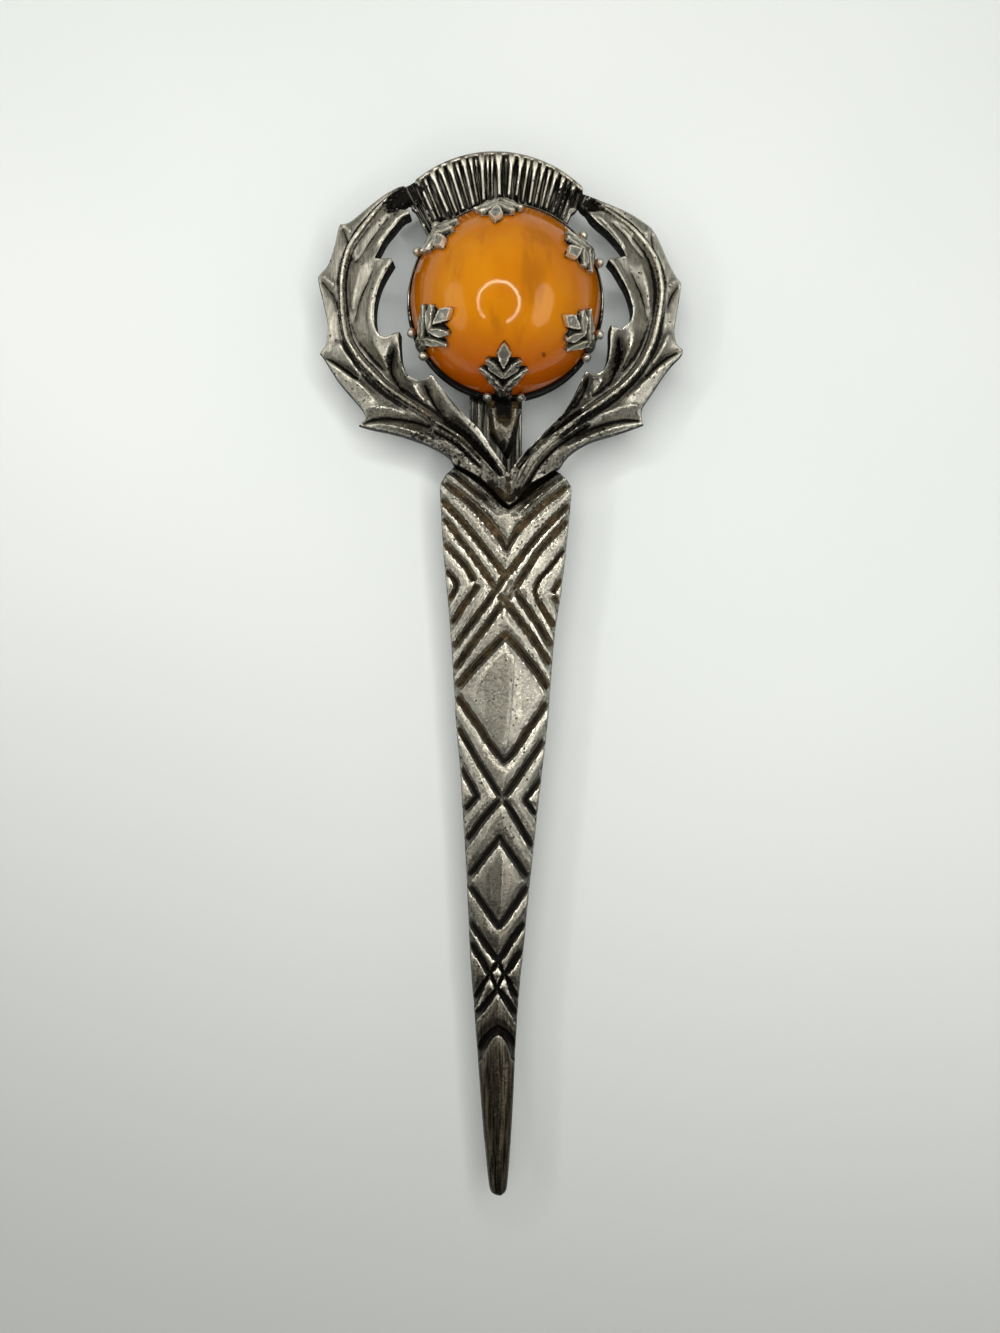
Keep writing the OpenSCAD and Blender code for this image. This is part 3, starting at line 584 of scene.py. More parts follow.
# Carved lines of the leaves: profile, half width in px, height in mm, fades at both ends in mm, (px, py)
LEAF_CARVING = [
    # Veins
    (channel, (1.3, 2.9, 2.4, 2.4, 2.8, 2.6), 0.5, 1.0, 0.4,
     [(400, 188.5), (383, 202.5), (368, 219.5), (358, 232.7), (349.8, 244.8), (344.8, 259.6), (342, 274),
      (341.3, 290), (341.8, 305), (343.3, 320), (348, 340.7), (359.3, 358.9), (372.7, 373.3), (386, 386.2),
      (400.5, 396.7), (420, 409.8), (434, 419)]),
    (channel, (1.3, 3.0, 3.2, 3.2, 3.2, 3.2), 0.5, 1.0, 0.4,
     [(592, 198), (606.8, 209.5), (619.8, 218.3), (632, 227.6), (641.2, 237.6), (651, 250), (656.5, 261.5),
      (660.3, 275.6), (661.9, 290), (660.5, 305), (657.6, 323.5), (651.9, 343.6), (644.2, 360.8),
      (634.6, 374.2), (621.2, 387.6), (607.8, 398.1), (591.6, 409.6), (574.4, 423), (556, 437.5)]),
    # Left side of the V: its bright edge, the valley below it, then the vein's two rims with a groove between
    (bead, 1.7, 0.24, 0.8, 0.3, [(440, 385), (448, 396), (454, 404), (461, 412), (470.5, 421), (480, 431),
     (488, 442), (496, 453.5), (503, 466), (508, 472.5)]),
    (bead, 3.5, -0.6, 0.8, 0.3, [(440, 417), (448, 423), (458, 430), (468, 439), (478, 450), (488, 461),
     (498, 473), (501, 479)]),
    (bead, 1.8, 0.42, 0.6, 0.4, [(428, 418), (440, 424.5), (450, 431), (460, 437), (468, 443), (476, 452),
     (483, 460), (490, 468), (497, 476), (501, 481)]),
    (fold, 0.9, -0.35, 0.6, 0.4, [(434, 425), (440, 427.7), (450, 434), (460, 440.7), (468, 447.6),
     (475, 455), (481, 462)]),
    (bead, 1.5, 0.34, 0.6, 0.4, [(432, 427), (440, 430.7), (450, 437), (460, 444.3), (468, 452), (475, 459.5),
     (480.5, 465)]),
    (fold, 1.7, -0.5, 0.6, 0.6, [(432, 431.5), (440, 435), (450, 441), (460, 448.5), (468, 456.5), (476, 464),
     (484, 471)]),
    # Right side of the V: its doubled bright edge, the valley, and the vein's rim and lower edge
    (bead, 1.1, 0.2, 0.8, 0.3, [(583, 382), (576, 395), (566, 412), (556, 423), (546, 433), (536, 441),
     (526, 452), (519, 461), (512, 470)]),
    (bead, 1.1, 0.18, 0.8, 0.3, [(587.5, 384), (580, 396.5), (569.5, 414), (559, 425.5), (549, 435.5),
     (539, 444), (529, 455), (522, 464), (515, 472)]),
    (bead, 2.8, -0.58, 0.5, 0.3, [(583, 408), (573, 416), (565, 422), (553, 432), (541, 443), (531, 453),
     (523, 463), (517, 471)]),
    (bead, 1.9, 0.4, 0.6, 0.8, [(590, 410), (580, 417), (570, 424), (560, 431), (550, 438), (540, 446),
     (530, 457), (525, 466), (520, 475), (516, 484)]),
    (bead, 1.3, 0.3, 0.6, 0.8, [(590, 420), (580, 426), (566, 436), (553, 445), (543, 455), (534, 466),
     (527, 478), (520, 490), (515, 497)]),
    (fold, 1.6, -0.5, 0.6, 0.8, [(592, 423), (582, 429), (568, 439.5), (556, 448.5), (546, 458.5),
     (537, 469.5), (530, 481), (523, 492)]),
    (bead, 4.6, 0.2, 0.4, 0.2, [(509, 473), (509, 488), (508.5, 501)]),
    # Thin dark lines between the vein and the lobes
    (fold, 1.0, -0.16, 0.5, 0.3, [(391, 216), (388, 219), (375, 235), (361.5, 254), (353.5, 263)]),
    (fold, 1.4, -0.16, 0.8, 0.4, [(375, 266), (370.5, 277), (364.7, 289), (360, 300), (356.5, 312),
     (354, 321)]),
    (fold, 1.2, -0.16, 0.5, 0.3, [(609, 221), (622.8, 233.6), (632, 244.3), (639.7, 253.5), (643.5, 258.5)]),
    (fold, 1.4, -0.16, 0.8, 0.4, [(629, 269), (635, 282), (640, 292), (644.5, 306), (648, 322)]),
    # Dark grooves on both sides of the veins
    (fold, 1.1, -0.15, 0.8, 0.3, [(392, 191.5), (374, 206.5), (361, 221.5), (352.5, 233), (345.5, 246),
     (340.7, 260), (338, 274), (337.3, 290), (337.8, 306), (339.5, 322), (344.5, 342.5), (356, 361.5),
     (369.5, 376.5), (383, 389.5), (398, 400.5), (418, 414.5), (440, 431)]),
    (fold, 1.1, -0.15, 0.8, 0.3, [(373.5, 221), (362.5, 235), (354, 247.5), (349, 261), (346, 275),
     (345.5, 290), (346.3, 305), (347.8, 319), (352.5, 338), (363.5, 355.5), (376.5, 369), (389.5, 382),
     (404, 392.5), (424, 405), (446, 421)]),
    (fold, 1.1, -0.15, 0.8, 0.3, [(600, 201.5), (614, 209), (626, 217.5), (637, 227), (646.5, 237.5),
     (656.5, 251.5), (662, 264), (665.5, 279), (666.5, 293), (665.3, 309), (661.5, 326.5), (655.5, 346.5),
     (647.5, 364), (637.5, 378.5), (624, 391.5), (610, 402.5), (594, 413.5), (577, 426.5), (560, 440.5)]),
    (fold, 1.1, -0.15, 0.8, 0.3, [(617, 223), (628, 231.5), (637, 241.5), (646, 253.5), (651.5, 264.5),
     (655.3, 277.5), (656.8, 291), (655.5, 304.5), (652.5, 321.5), (647, 340.5), (639.5, 357), (630.5, 370),
     (618, 383), (604.5, 393.5), (588.5, 404.5), (571, 418)]),
    # Folds from the tips of the teeth
    (fold, 1.5, -0.22, 0.2, 0.6, [(341, 225.5), (344.5, 233), (347, 240.5), (347.5, 246)]),
    (fold, 2.2, -0.30, 0.3, 0.6, [(319.5, 278), (327, 286.5), (333, 294.5), (336, 302), (337, 310)]),
    (fold, 1.8, -0.45, 0.3, 0.6, [(322, 355), (333, 361), (345, 369.5), (358, 380)]),
    (fold, 1.6, -0.35, 0.2, 0.4, [(361.5, 423), (370, 419.3), (385, 418), (400, 419), (416, 422),
     (432, 428)]),
    (fold, 1.5, -0.22, 0.2, 0.6, [(652.5, 231), (652.8, 240), (654, 248), (656, 253)]),
    (fold, 2.0, -0.32, 0.3, 0.6, [(680, 283), (674.5, 291), (670, 300), (667.5, 311)]),
    (fold, 1.4, -0.40, 0.3, 0.6, [(680, 350), (668, 356.5), (656, 366), (645, 378)]),
    (fold, 1.6, -0.30, 0.2, 0.4, [(641, 419.5), (625, 419.8), (608, 423), (591, 428.5), (574, 437)]),
    # Dark hollows inside the lower lobes
    (fold, 1.9, -0.50, 0.6, 0.5, [(393.5, 350), (391, 361), (391.5, 372), (397, 383), (405, 393)]),
    (fold, 1.7, -0.40, 0.5, 0.6, [(425, 384), (429.5, 395), (436, 406.5), (446, 418)]),
    (fold, 1.9, -0.50, 0.6, 0.5, [(618.7, 337), (619.5, 350), (618, 362), (613.5, 375), (608, 387)]),
    (fold, 1.7, -0.40, 0.5, 0.6, [(588.3, 378), (584.5, 390), (578, 401), (569, 412)]),
    # Burnished strips inside the edges of the upper lobes
    (bead, 3.0, 0.2, 1.0, 1.0, [(405.5, 214.5), (398, 219), (389, 229.5), (381, 240), (374.5, 251)]),
    (bead, 3.5, 0.22, 1.0, 1.5, [(389.5, 262), (381.5, 273), (376, 284), (372.5, 295), (370.3, 307),
     (370, 320), (373, 334)]),
    (bead, 2.5, 0.2, 0.8, 0.8, [(594.5, 215.5), (603, 222.5), (612, 231), (620, 241), (627, 252)]),
    (bead, 4.5, 0.22, 1.0, 1.5, [(612.5, 261.5), (619.5, 273), (626.5, 284.5), (632.5, 297), (636, 311),
     (634.5, 324)]),
    (bead, 3.0, 0.12, 0.8, 0.8, [(396.3, 335), (396.3, 347), (398, 361), (402.5, 372.5), (410, 380.5),
     (422, 382.5)]),
    (bead, 3.4, 0.13, 0.8, 0.8, [(614, 328), (613.8, 345), (611.5, 360), (606, 372), (596, 377.5),
     (588, 375)]),
]


CARVE_STEP = 0.2


def carved(points, carving, height):
    """Sum of the carved lines' profiles at each point, where the lines lie at that height on the casting."""
    total = np.zeros(len(points))
    for profile, half_width, rise, fade_in, fade_out, line in carving:
        path = smooth_curve(spots(line, height)[:, :2], CARVE_STEP)
        total += carve(points, path, profile, np.divide(half_width, PIXELS_PER_MM), rise, (fade_in, fade_out))
    return total


def carved_paths(carving, height, step):
    """Lines for the mesh to follow: each carved line's middle, and the edges of its channel or bead."""
    paths = []
    for profile, half_width, _, _, _, line in carving:
        path = smooth_curve(spots(line, height)[:, :2], step)
        paths.append(path)
        if profile is not fold:
            side = across(np.gradient(path, axis=0))
            reach = spread(np.divide(half_width, PIXELS_PER_MM), np.linspace(0, 1, len(path)))
            for turn in (-1, 1):
                paths.append(path + side * turn * np.reshape(reach, (-1, 1)))
    return paths


# How far the leaves' walls spread from their top edge to the back, in mm
TEETH_DRAFT = 0.08
LOBE_DRAFT = 0.1
V_DRAFT = 0.12


def sloped(points, draft):
    """Rows of (x, y, height, draft) in mm for a stretch of outline."""
    rows = spots(points)
    return np.column_stack([rows, np.full(len(rows), draft)])


def leaves():
    step = 0.125
    stretches = [sloped(s, TEETH_DRAFT) for s in [*LEFT_TEETH, *POINT_OF_V, *RIGHT_TEETH]]
    for lobes, v_band in ((RIGHT_LOBES, RIGHT_LOBES[-1]), (LEFT_LOBES, LEFT_LOBES[0])):
        stretches += [sloped(s, V_DRAFT if s is v_band else LOBE_DRAFT) for s in lobes]
    outline = closed_outline(stretches, step * 0.8)
    loop = looped(outline)
    guides = [smooth_curve(spots(line), step) for line in LEAF_LINES]

    def height(points, faces):
        known, heights = heights_on(points, [*guides, loop])
        film = membrane(points, faces, known, heights)
        return film + carved(points, LEAF_CARVING, LEAF_CARVING_HEIGHT)

    lines = [*guides, *carved_paths(LEAF_CARVING, LEAF_CARVING_HEIGHT, step)]
    return relief("casting_leaves", outline, lines, height, step, round_r=0.2, floor=0.02)


# Blade

BLADE_FACE = 2.1
BLADE_LEFT_EDGE = [
    [(462, 461), (454, 465)],
    [(447, 472), (441, 480), (439.3, 490), (440.5, 510), (441.5, 530), (443, 553), (445.5, 580), (449.5, 625),
     (454, 693), (455.4, 721), (460, 772), (462.3, 810), (466.5, 880), (469.5, 950), (474, 1012), (479, 1078),
     (483, 1130), (486, 1160), (488.2, 1182), (489.6, 1191), (491.5, 1195.6), (495, 1197), (499.5, 1197.4)],
]
BLADE_RIGHT_EDGE = [
    [(503.8, 1196.6), (506, 1193.5), (507.2, 1188), (508.2, 1178), (510, 1155), (513, 1105), (516, 1042),
     (520, 985), (524, 948), (528, 905), (533, 858), (538, 810), (543, 768), (548.2, 721), (552.2, 668),
     (556, 627), (560.5, 600), (564, 572), (567, 545), (570, 516), (572, 490), (569.5, 481.5), (564, 475),
     (558.7, 470)],
    [(548, 464)],
    [(509, 480)],
]


def cut(half_width, depth, line, fade_in=0, fade_out=0):
    """Cut line of the blade: half width in px, depth in mm, (px, py), fades at both ends in mm."""
    return trough, half_width, depth, fade_in, fade_out, line


BLADE_CUTS = [
    # Deep recess between the leaves and the blade's crest
    cut(3.7, -1.1, [(449, 459), (458, 465), (471, 473.5), (485, 483.5), (495, 493), (502, 501),
     (508, 505)]),
    cut(3.3, -1.1, [(508, 505), (516, 500.5), (527, 492), (539, 482.3), (552, 472.8), (562, 466.3)]),
    # First band below the crest, which fades out near the middle
    cut(3.2, -0.42, [(448, 466.5), (451.2, 469.8), (462.8, 480.3), (474, 490.5), (486, 499),
     (498, 507.5)], 0, 1.6),
    cut(2.3, -0.38, [(564, 472), (560.1, 475.4), (547.6, 484.8), (534.2, 495.5), (523.5, 504),
     (516, 510)], 0, 1.2),
    # First chevron
    cut(4.1, -0.45, [(440, 476.5), (451, 486), (462.8, 496), (474.4, 507), (486, 519.3),
     (497, 533.5), (506.3, 547)]),
    cut(3.3, -0.45, [(574, 478), (568, 483), (559, 491.8), (547.6, 500.5), (534.2, 512.5),
     (520.8, 526.8), (512.5, 538.5), (506.8, 548)]),
    # Two chevrons that cross in the middle of the blade and run on to its other edge
    cut(3.0, -0.5, [(437, 490), (447.6, 504.9), (459.2, 517.6), (471.7, 532.7), (482.4, 546),
     (492, 558.5), (500, 568.5), (505, 575)]),
    cut(3.1, -0.5, [(572, 500), (559.2, 513.1), (547.6, 524.7), (535.1, 539), (524.4, 552.3),
     (513.6, 566.8), (505, 576.5), (498, 586.9), (489.4, 599.8), (479.1, 613.6), (466.2, 630.9),
     (453.2, 648.3), (446, 658)]),
    cut(2.8, -0.45, [(438, 511), (449.4, 523.9), (459.2, 538), (469, 550.6), (480.8, 567),
     (489.4, 579.5), (496, 588.5)]),
    cut(3.2, -0.45, [(574, 509.5), (561, 526.5), (550.3, 538), (538.7, 551.5), (530.6, 563.5),
     (522.2, 577), (513, 591), (509, 596.5)]),
    cut(3.5, -0.5, [(513.5, 589), (526.5, 607), (537.7, 624), (548, 641.2), (557, 657)], 0.3, 0),
    cut(3.4, -0.5, [(501.5, 597.5), (509.3, 607.5), (518.8, 619.3), (529, 633), (539.4, 648.3),
     (550.7, 667), (557, 679)]),
    cut(3.2, -0.5, [(504.5, 600.5), (496.3, 612), (487.7, 624.3), (474.8, 641.4),
     (463.6, 656.9), (452.2, 673), (446, 681)], 0.5, 0),
    cut(2.4, -0.3, [(512.5, 580.5), (508.5, 589), (505.5, 595.5)], 0.3, 0.3),
    cut(2.2, -0.3, [(501, 597.5), (506.5, 598)], 0.2, 0.2),
    # Side chevrons beside the crossing
    cut(3.0, -0.5, [(438, 535), (449.6, 548), (458.4, 557.8), (466, 566.5), (472.5, 577.5),
     (473.5, 581.5)], 0, 0.2),
    cut(3.1, -0.5, [(477.8, 584), (472.5, 593), (463.6, 605.5), (453.2, 621.6), (446, 634)], 0.2, 0),
    cut(2.6, -0.5, [(440, 561), (450.7, 574.8), (456.3, 582), (455.2, 589.5), (448.9, 601),
     (443, 611)]),
    cut(1.9, -0.4, [(571, 541), (559.2, 555.4), (550.7, 566.4), (540, 578.6), (535.6, 588.5),
     (536.3, 597), (542.9, 609)]),
    cut(2.9, -0.5, [(538, 600), (544.5, 611.5), (551.5, 622.8), (557, 635), (560, 643)], 0.4, 0),
    cut(2.4, -0.45, [(564, 573), (556, 586.9), (552.6, 593.2)], 0, 0.2),
    cut(2.5, -0.45, [(553.6, 595.2), (557, 602.5), (559.5, 612)], 0.2, 0),
    # Upper diamond
    cut(4.3, -0.55, [(505, 635.5), (496.3, 644), (484.3, 656.5), (470.5, 671.5), (458.5, 686),
     (449, 697.5)]),
    cut(4.1, -0.55, [(505.5, 635.5), (515.3, 645), (526.5, 658.5), (537.7, 672.5), (547.5, 689),
     (555, 701.5)]),
    cut(3.6, -0.5, [(452, 688.5), (456.9, 695), (466, 709), (477, 724), (487.4, 740), (497, 753),
     (503.5, 760.5)]),
    cut(3.6, -0.5, [(553, 692), (547.2, 701), (538.6, 715), (528.5, 729.5), (518.8, 744.7),
     (510.4, 756), (504, 760.8)]),
    # Chevrons that cross between the diamonds
    cut(3.1, -0.5, [(452, 715.5), (456.9, 724.3), (465.5, 739.8), (476.8, 759), (487.2, 775.3),
     (496.8, 791), (501.8, 798), (509, 807.5), (518, 822.5), (526, 837.5), (534, 852.5)]),
    cut(3.7, -0.5, [(550, 727), (545.8, 734.5), (538, 748.5), (528.5, 762.2), (518.8, 776.2),
     (508.5, 791), (501.8, 798), (493, 807.5), (482.5, 820), (473, 833.5), (462, 850)]),
    cut(3.4, -0.5, [(454, 750), (460.3, 763), (465.8, 775.3), (472.5, 787.3), (476.8, 797)]),
    cut(3.3, -0.5, [(477, 796), (469.8, 805.6), (461, 816.5), (456, 824)]),
    cut(2.6, -0.5, [(546, 763), (541.5, 773.6), (536.3, 785), (528, 796.5), (525.8, 801.5),
     (531.3, 809.2), (536.5, 818), (541, 826)]),
    # Lower diamond
    cut(3.6, -0.5, [(499.5, 838), (484, 857.5), (467.5, 880.5), (462, 888)]),
    cut(3.6, -0.5, [(499.8, 838), (514, 858.5), (529.3, 882), (534, 890)]),
    cut(3.3, -0.5, [(464, 877), (468, 883.5), (483, 904.5), (494, 920.5), (499, 926.5)]),
    cut(3.3, -0.5, [(533, 877), (529, 884), (514.5, 906), (504, 921), (499, 926.5)]),
    # Chevrons below it, thin where they cross
    cut((3.2, 3.2, 3.2, 3.2, 3.2, 2.6, 1.3, 1.3, 2.7, 3.1, 3.1), -0.6, [(464, 911), (468, 918),
     (478.5, 934.7), (489.5, 950), (498.3, 962.3), (500.5, 966.7), (504.4, 975.5), (508.3, 981),
     (511.6, 989.8), (518.2, 1005.2), (521, 1011)]),
    cut((3.2, 3.2, 3.2, 3.2, 3.0, 2.0, 1.2, 1.4, 2.7, 3.2, 3.2), -0.6, [(529, 917), (526, 921.5),
     (513.8, 938), (505, 952.4), (498.3, 962.3), (493.9, 968.9), (489.5, 975), (485.7, 981), (479.6, 992),
     (474, 1005), (470, 1013)]),
    cut((3.1, 3.1, 3.1, 3.1, 2.6, 1.3, 1.4, 2.9, 3.1, 3.1, 3.1), -0.6, [(466, 933.5),
     (469.2, 939), (476.3, 952.4), (484, 964.5), (489.5, 974.4), (493.9, 982), (496.7, 989.3), (500.5, 993),
     (508.3, 1004), (516, 1018.4), (519, 1024)]),
    cut((3.1, 3.1, 3.1, 3.1, 2.0, 1.3, 1.7, 2.9, 3.1, 3.1, 3.1), -0.6, [(527, 943),
     (524.2, 948), (517, 957.9), (510.5, 967.8), (504.4, 975.5), (500.5, 982), (496.7, 989.3),
     (491.7, 996.4), (484, 1007.4), (474.7, 1018.4), (471, 1023)]),
    # Last band
    cut(3.9, -0.7, [(497.8, 1029.5), (491, 1034.5), (486.2, 1040.5), (481.5, 1050), (478, 1060)]),
    cut(3.9, -0.7, [(497.8, 1029.5), (504.5, 1034.5), (509.4, 1040.5), (512.5, 1049),
     (514.5, 1059)]),
]
# Thin raised lines of the blade, as in LEAF_CARVING: its crest, and the ridge that runs down its face
BLADE_RIDGES = [
    (bead, 1.3, 0.16, 0, 0, [(452, 465), (453.9, 467.4), (466.4, 475.8), (478, 485.2), (486, 492.4),
     (494.9, 500.4), (502, 507.3), (507.4, 510.7)]),
    (bead, 1.3, 0.14, 0, 0, [(560, 471.5), (558.8, 472.7), (551.2, 479), (538.7, 487.9), (530.6, 495),
     (519, 504), (511.9, 510), (508, 511)]),
    (bead, 1.3, 0.14, 0, 0.6, [(445.5, 472.3), (453.9, 478), (462.8, 486), (471.7, 494.3), (480.6, 505),
     (491.4, 517.4), (498.5, 524.8), (505.5, 531.5), (508.5, 541)]),
    (bead, 1.3, 0.14, 0, 0.6, [(566, 477), (552, 487.9), (543, 496), (532.4, 504.9), (521.7, 516.5),
     (514, 527.5), (509.3, 541)]),
    (fold, 2.0, 0.17, 2.0, 0.5, [(514, 648), (512, 690), (508, 735), (505, 751)]),
    (fold, 1.6, 0.12, 0.5, 0.5, [(507, 768), (505, 780), (503, 790)]),
    (fold, 2.0, 0.04, 1.0, 1.0, [(503, 850), (502, 885), (500.5, 915)]),
    (fold, 2.4, 0.06, 0.5, 6.0, [(497.5, 1037), (498, 1090), (498.5, 1150), (499, 1185)]),
]
# Across the blade: sloping left side, a nearly flat strip, the ridge a little right of the middle, right side
BLADE_SECTION = ([-1, -0.8, -0.55, -0.35, 0.0, 0.1, 0.2, 0.4, 0.7, 1],
                 [0, 0.38, 0.72, 0.88, 0.97, 0.985, 0.95, 0.83, 0.5, 0.1])
# The edge's height above the back, the crown's above that, and the share of the crown lost at the tip
BLADE_EDGE_T = 1.3
BLADE_CROWN = 1.2
CROWN_LOSS = 0.55
# Cuts are that many px wider to each side than charted, and count as cuts from that depth in mm
CUT_EXTRA = 0.5
IN_CUT = -0.02
# Slight lip beside each cut, and the worn shoulder along it
CUT_LIP = 0.045
CUT_LIP_W = 0.09
SHOULDER = 0.2
SHOULDER_W = 0.8


def cut_depths(points):
    """Height of the blade's cuts, lips and shoulders at each point. Where cuts cross, the deeper counts."""
    deepest = np.zeros(len(points))
    lips = np.zeros(len(points))
    shoulders = np.zeros(len(points))
    for profile, half_width, depth, fade_in, fade_out, line in BLADE_CUTS:
        path = smooth_curve(spots(line, BLADE_FACE)[:, :2], 0.25)
        width = np.add(half_width, CUT_EXTRA) / PIXELS_PER_MM
        deepest = np.minimum(deepest, carve(points, path, profile, width, depth, (fade_in, fade_out)))
        d, along = near_line(points, path, np.max(width) + SHOULDER_W)
        out = d - spread(width, along / length_of(path))
        lips = np.maximum(lips, CUT_LIP * np.exp(-((out / CUT_LIP_W) ** 2)))
        shoulders = np.maximum(shoulders, np.clip(1 - out / SHOULDER_W, 0, 1) ** 2)
    return deepest + np.where(deepest < IN_CUT, 0, lips) - SHOULDER * shoulders


def blade():
    step = 0.13
    outline = closed_outline([spots(s, BLADE_FACE) for s in [*BLADE_LEFT_EDGE, *BLADE_RIGHT_EDGE]], step)
    left = smooth_curve(spots(BLADE_LEFT_EDGE[1], BLADE_FACE), 0.3)
    right = smooth_curve(spots(BLADE_RIGHT_EDGE[0], BLADE_FACE), 0.3)[::-1]
    top_y, tip_y = left[0, 1], left[-1, 1]

    def height(points, _):
        y = points[:, 1]
        x0 = np.interp(-y, -left[:, 1], left[:, 0])
        x1 = np.interp(-y, -right[:, 1], right[:, 0])
        middle, half = (x0 + x1) / 2, np.maximum((x1 - x0) / 2, 0.3)
        t = np.clip((points[:, 0] - middle) / half, -1, 1)
        s = np.clip((top_y - y) / (top_y - tip_y), 0, 1)
        face = BLADE_EDGE_T + BLADE_CROWN * (1 - CROWN_LOSS * s) * np.interp(t, *BLADE_SECTION)
        return face + cut_depths(points) + carved(points, BLADE_RIDGES, BLADE_FACE)

    lines = carved_paths(BLADE_CUTS, BLADE_FACE, step) + carved_paths(BLADE_RIDGES, BLADE_FACE, step)
    return relief("casting_blade", outline, lines, height, step, round_r=0.25)


# Plume

PLUME_FACE = 2.2
# Middle and radius in px of the plume's round top, and where it starts and ends
PLUME_ARC = (495.0, 275.5)
PLUME_ARC_R = 124.5
PLUME_ARC_DEG = (45.5, 129.5)
PLUME_FOOT = [(445, 262), (495, 270), (545, 262)]
PLUME_LEFT_SIDE = [(410.5, 203), (415, 209), (421, 221), (426.5, 232), (433, 246)]
PLUME_RIGHT_SIDE = [(557, 243), (563, 229), (567, 222), (572, 211.5), (577, 207), (583, 193.5)]
# Ridges of the plume from its top edge to the stone: (px, py) at both ends, width and height shares
PLUME_RIDGES = [
    ((417.9, 179.4), (437, 221.5), 1.0, 1.0), ((423.2, 175), (441.5, 220.3), 0.7, 0.8),
    ((430.6, 169.2), (451.7, 220.3), 1.2, 1.0), ((439.5, 165.4), (459.3, 219), 1.0, 1.0),
    ((449.1, 162.9), (465, 213.9), 1.1, 1.0), ((455.5, 159.5), (469.5, 207), 0.7, 0.7),
    ((462.5, 156.5), (475.3, 211.3), 1.1, 1.0), ((469.8, 156), (478, 203), 0.8, 0.9),
    ((475.5, 155), (480.5, 202), 0.5, 0.6), ((481.5, 153.9), (484, 201), 1.2, 1.0),
    ((487.6, 153.9), (488.3, 200), 0.7, 0.9), ((492.2, 153), (492, 200), 0.7, 0.8),
    ((498.6, 152.7), (499.6, 200), 1.3, 1.0), ((506.5, 152.7), (506, 182), 0.5, 0.5),
    ((512.2, 153.9), (508.4, 200), 1.2, 1.0), ((521.8, 157), (515.6, 201), 1.0, 1.0),
    ((529.2, 158.5), (521.8, 204.5), 0.8, 0.9), ((536, 161), (528.2, 211.3), 1.0, 1.0),
    ((544.1, 164.1), (533.5, 211.3), 0.9, 1.0), ((550.9, 166), (539, 216.4), 0.8, 0.8),
    ((557.4, 169.6), (543.8, 216), 1.0, 1.0), ((564.7, 174.3), (550.5, 219), 0.9, 0.9),
    ((570.2, 177.5), (556, 221.5), 0.7, 0.8), ((575.2, 182), (560, 224.5), 0.9, 0.9),
]
# Half width of a ridge in px at its top and foot, the height of the valleys and of the ridges over them
RIDGE_W = (1.9, 1.5)
VALLEY_T = 1.25
RIDGE_H = 0.95
# A ridge is that much wider at its top, over that length, and its foot fades over another
RIDGE_FLARE = 1.7
RIDGE_FLARE_L = 1.7
RIDGE_FADE = 0.4
RIM_W = 0.3
RIM_SLOPE = 0.22
# What lies under the setting keeps below its collar up to a radius, and below its claws' feet and beads
UNDER_SETTING_T = 0.94
SETTING_CLEAR_R = 9.52
BEAD_CLEAR_T = 1.45
# Half width of a claw's foot and of a bead, and how far out each reaches from the stone's axis
CLAW_FOOT = (1.25, 9.88)
BEAD_FOOT = (0.62, 10.05)


def arc_points(centre, radius, start, end, count):
    turns = np.radians(np.linspace(start, end, count))
    return [(centre[0] + radius * math.cos(a), centre[1] - radius * math.sin(a)) for a in turns]


def setting_lines():
    """Circles round the stone, for the mesh to follow where it goes under the setting."""
    turns = np.linspace(0, 2 * math.pi, 400)
    circle = np.stack([np.cos(turns), np.sin(turns)], 1)
    return [(STONE_X, STONE_Y) + circle * (SETTING_CLEAR_R + more) for more in (0.0, 0.06)]


def past_setting(points):
    """Distance from the stone's axis, and from the nearest claw's foot or bead, of each point in mm."""
    aside = points - (STONE_X, STONE_Y)
    r = np.hypot(aside[:, 0], aside[:, 1])
    turn = np.degrees(np.arctan2(aside[:, 1], aside[:, 0])) % 360
    past = np.full(len(r), 9.0)
    feet = [(row[0], *CLAW_FOOT) for row in CLAWS] + [(degrees, *BEAD_FOOT) for degrees in BEADS_DEG]
    for degrees, half, reach in feet:
        across = np.abs(np.radians((turn - degrees + 180) % 360 - 180)) * r
        past = np.minimum(past, np.maximum(across - half, r - reach))
    return r, past


def clear_of_setting(points, face):
    """Heights kept clear of the setting's collar, claws and beads."""
    r, past = past_setting(points)
    face = np.minimum(face, BEAD_CLEAR_T + 1.2 * np.clip(past / 0.15, 0, 1))
    return np.where(r < SETTING_CLEAR_R + 0.03, UNDER_SETTING_T, face)


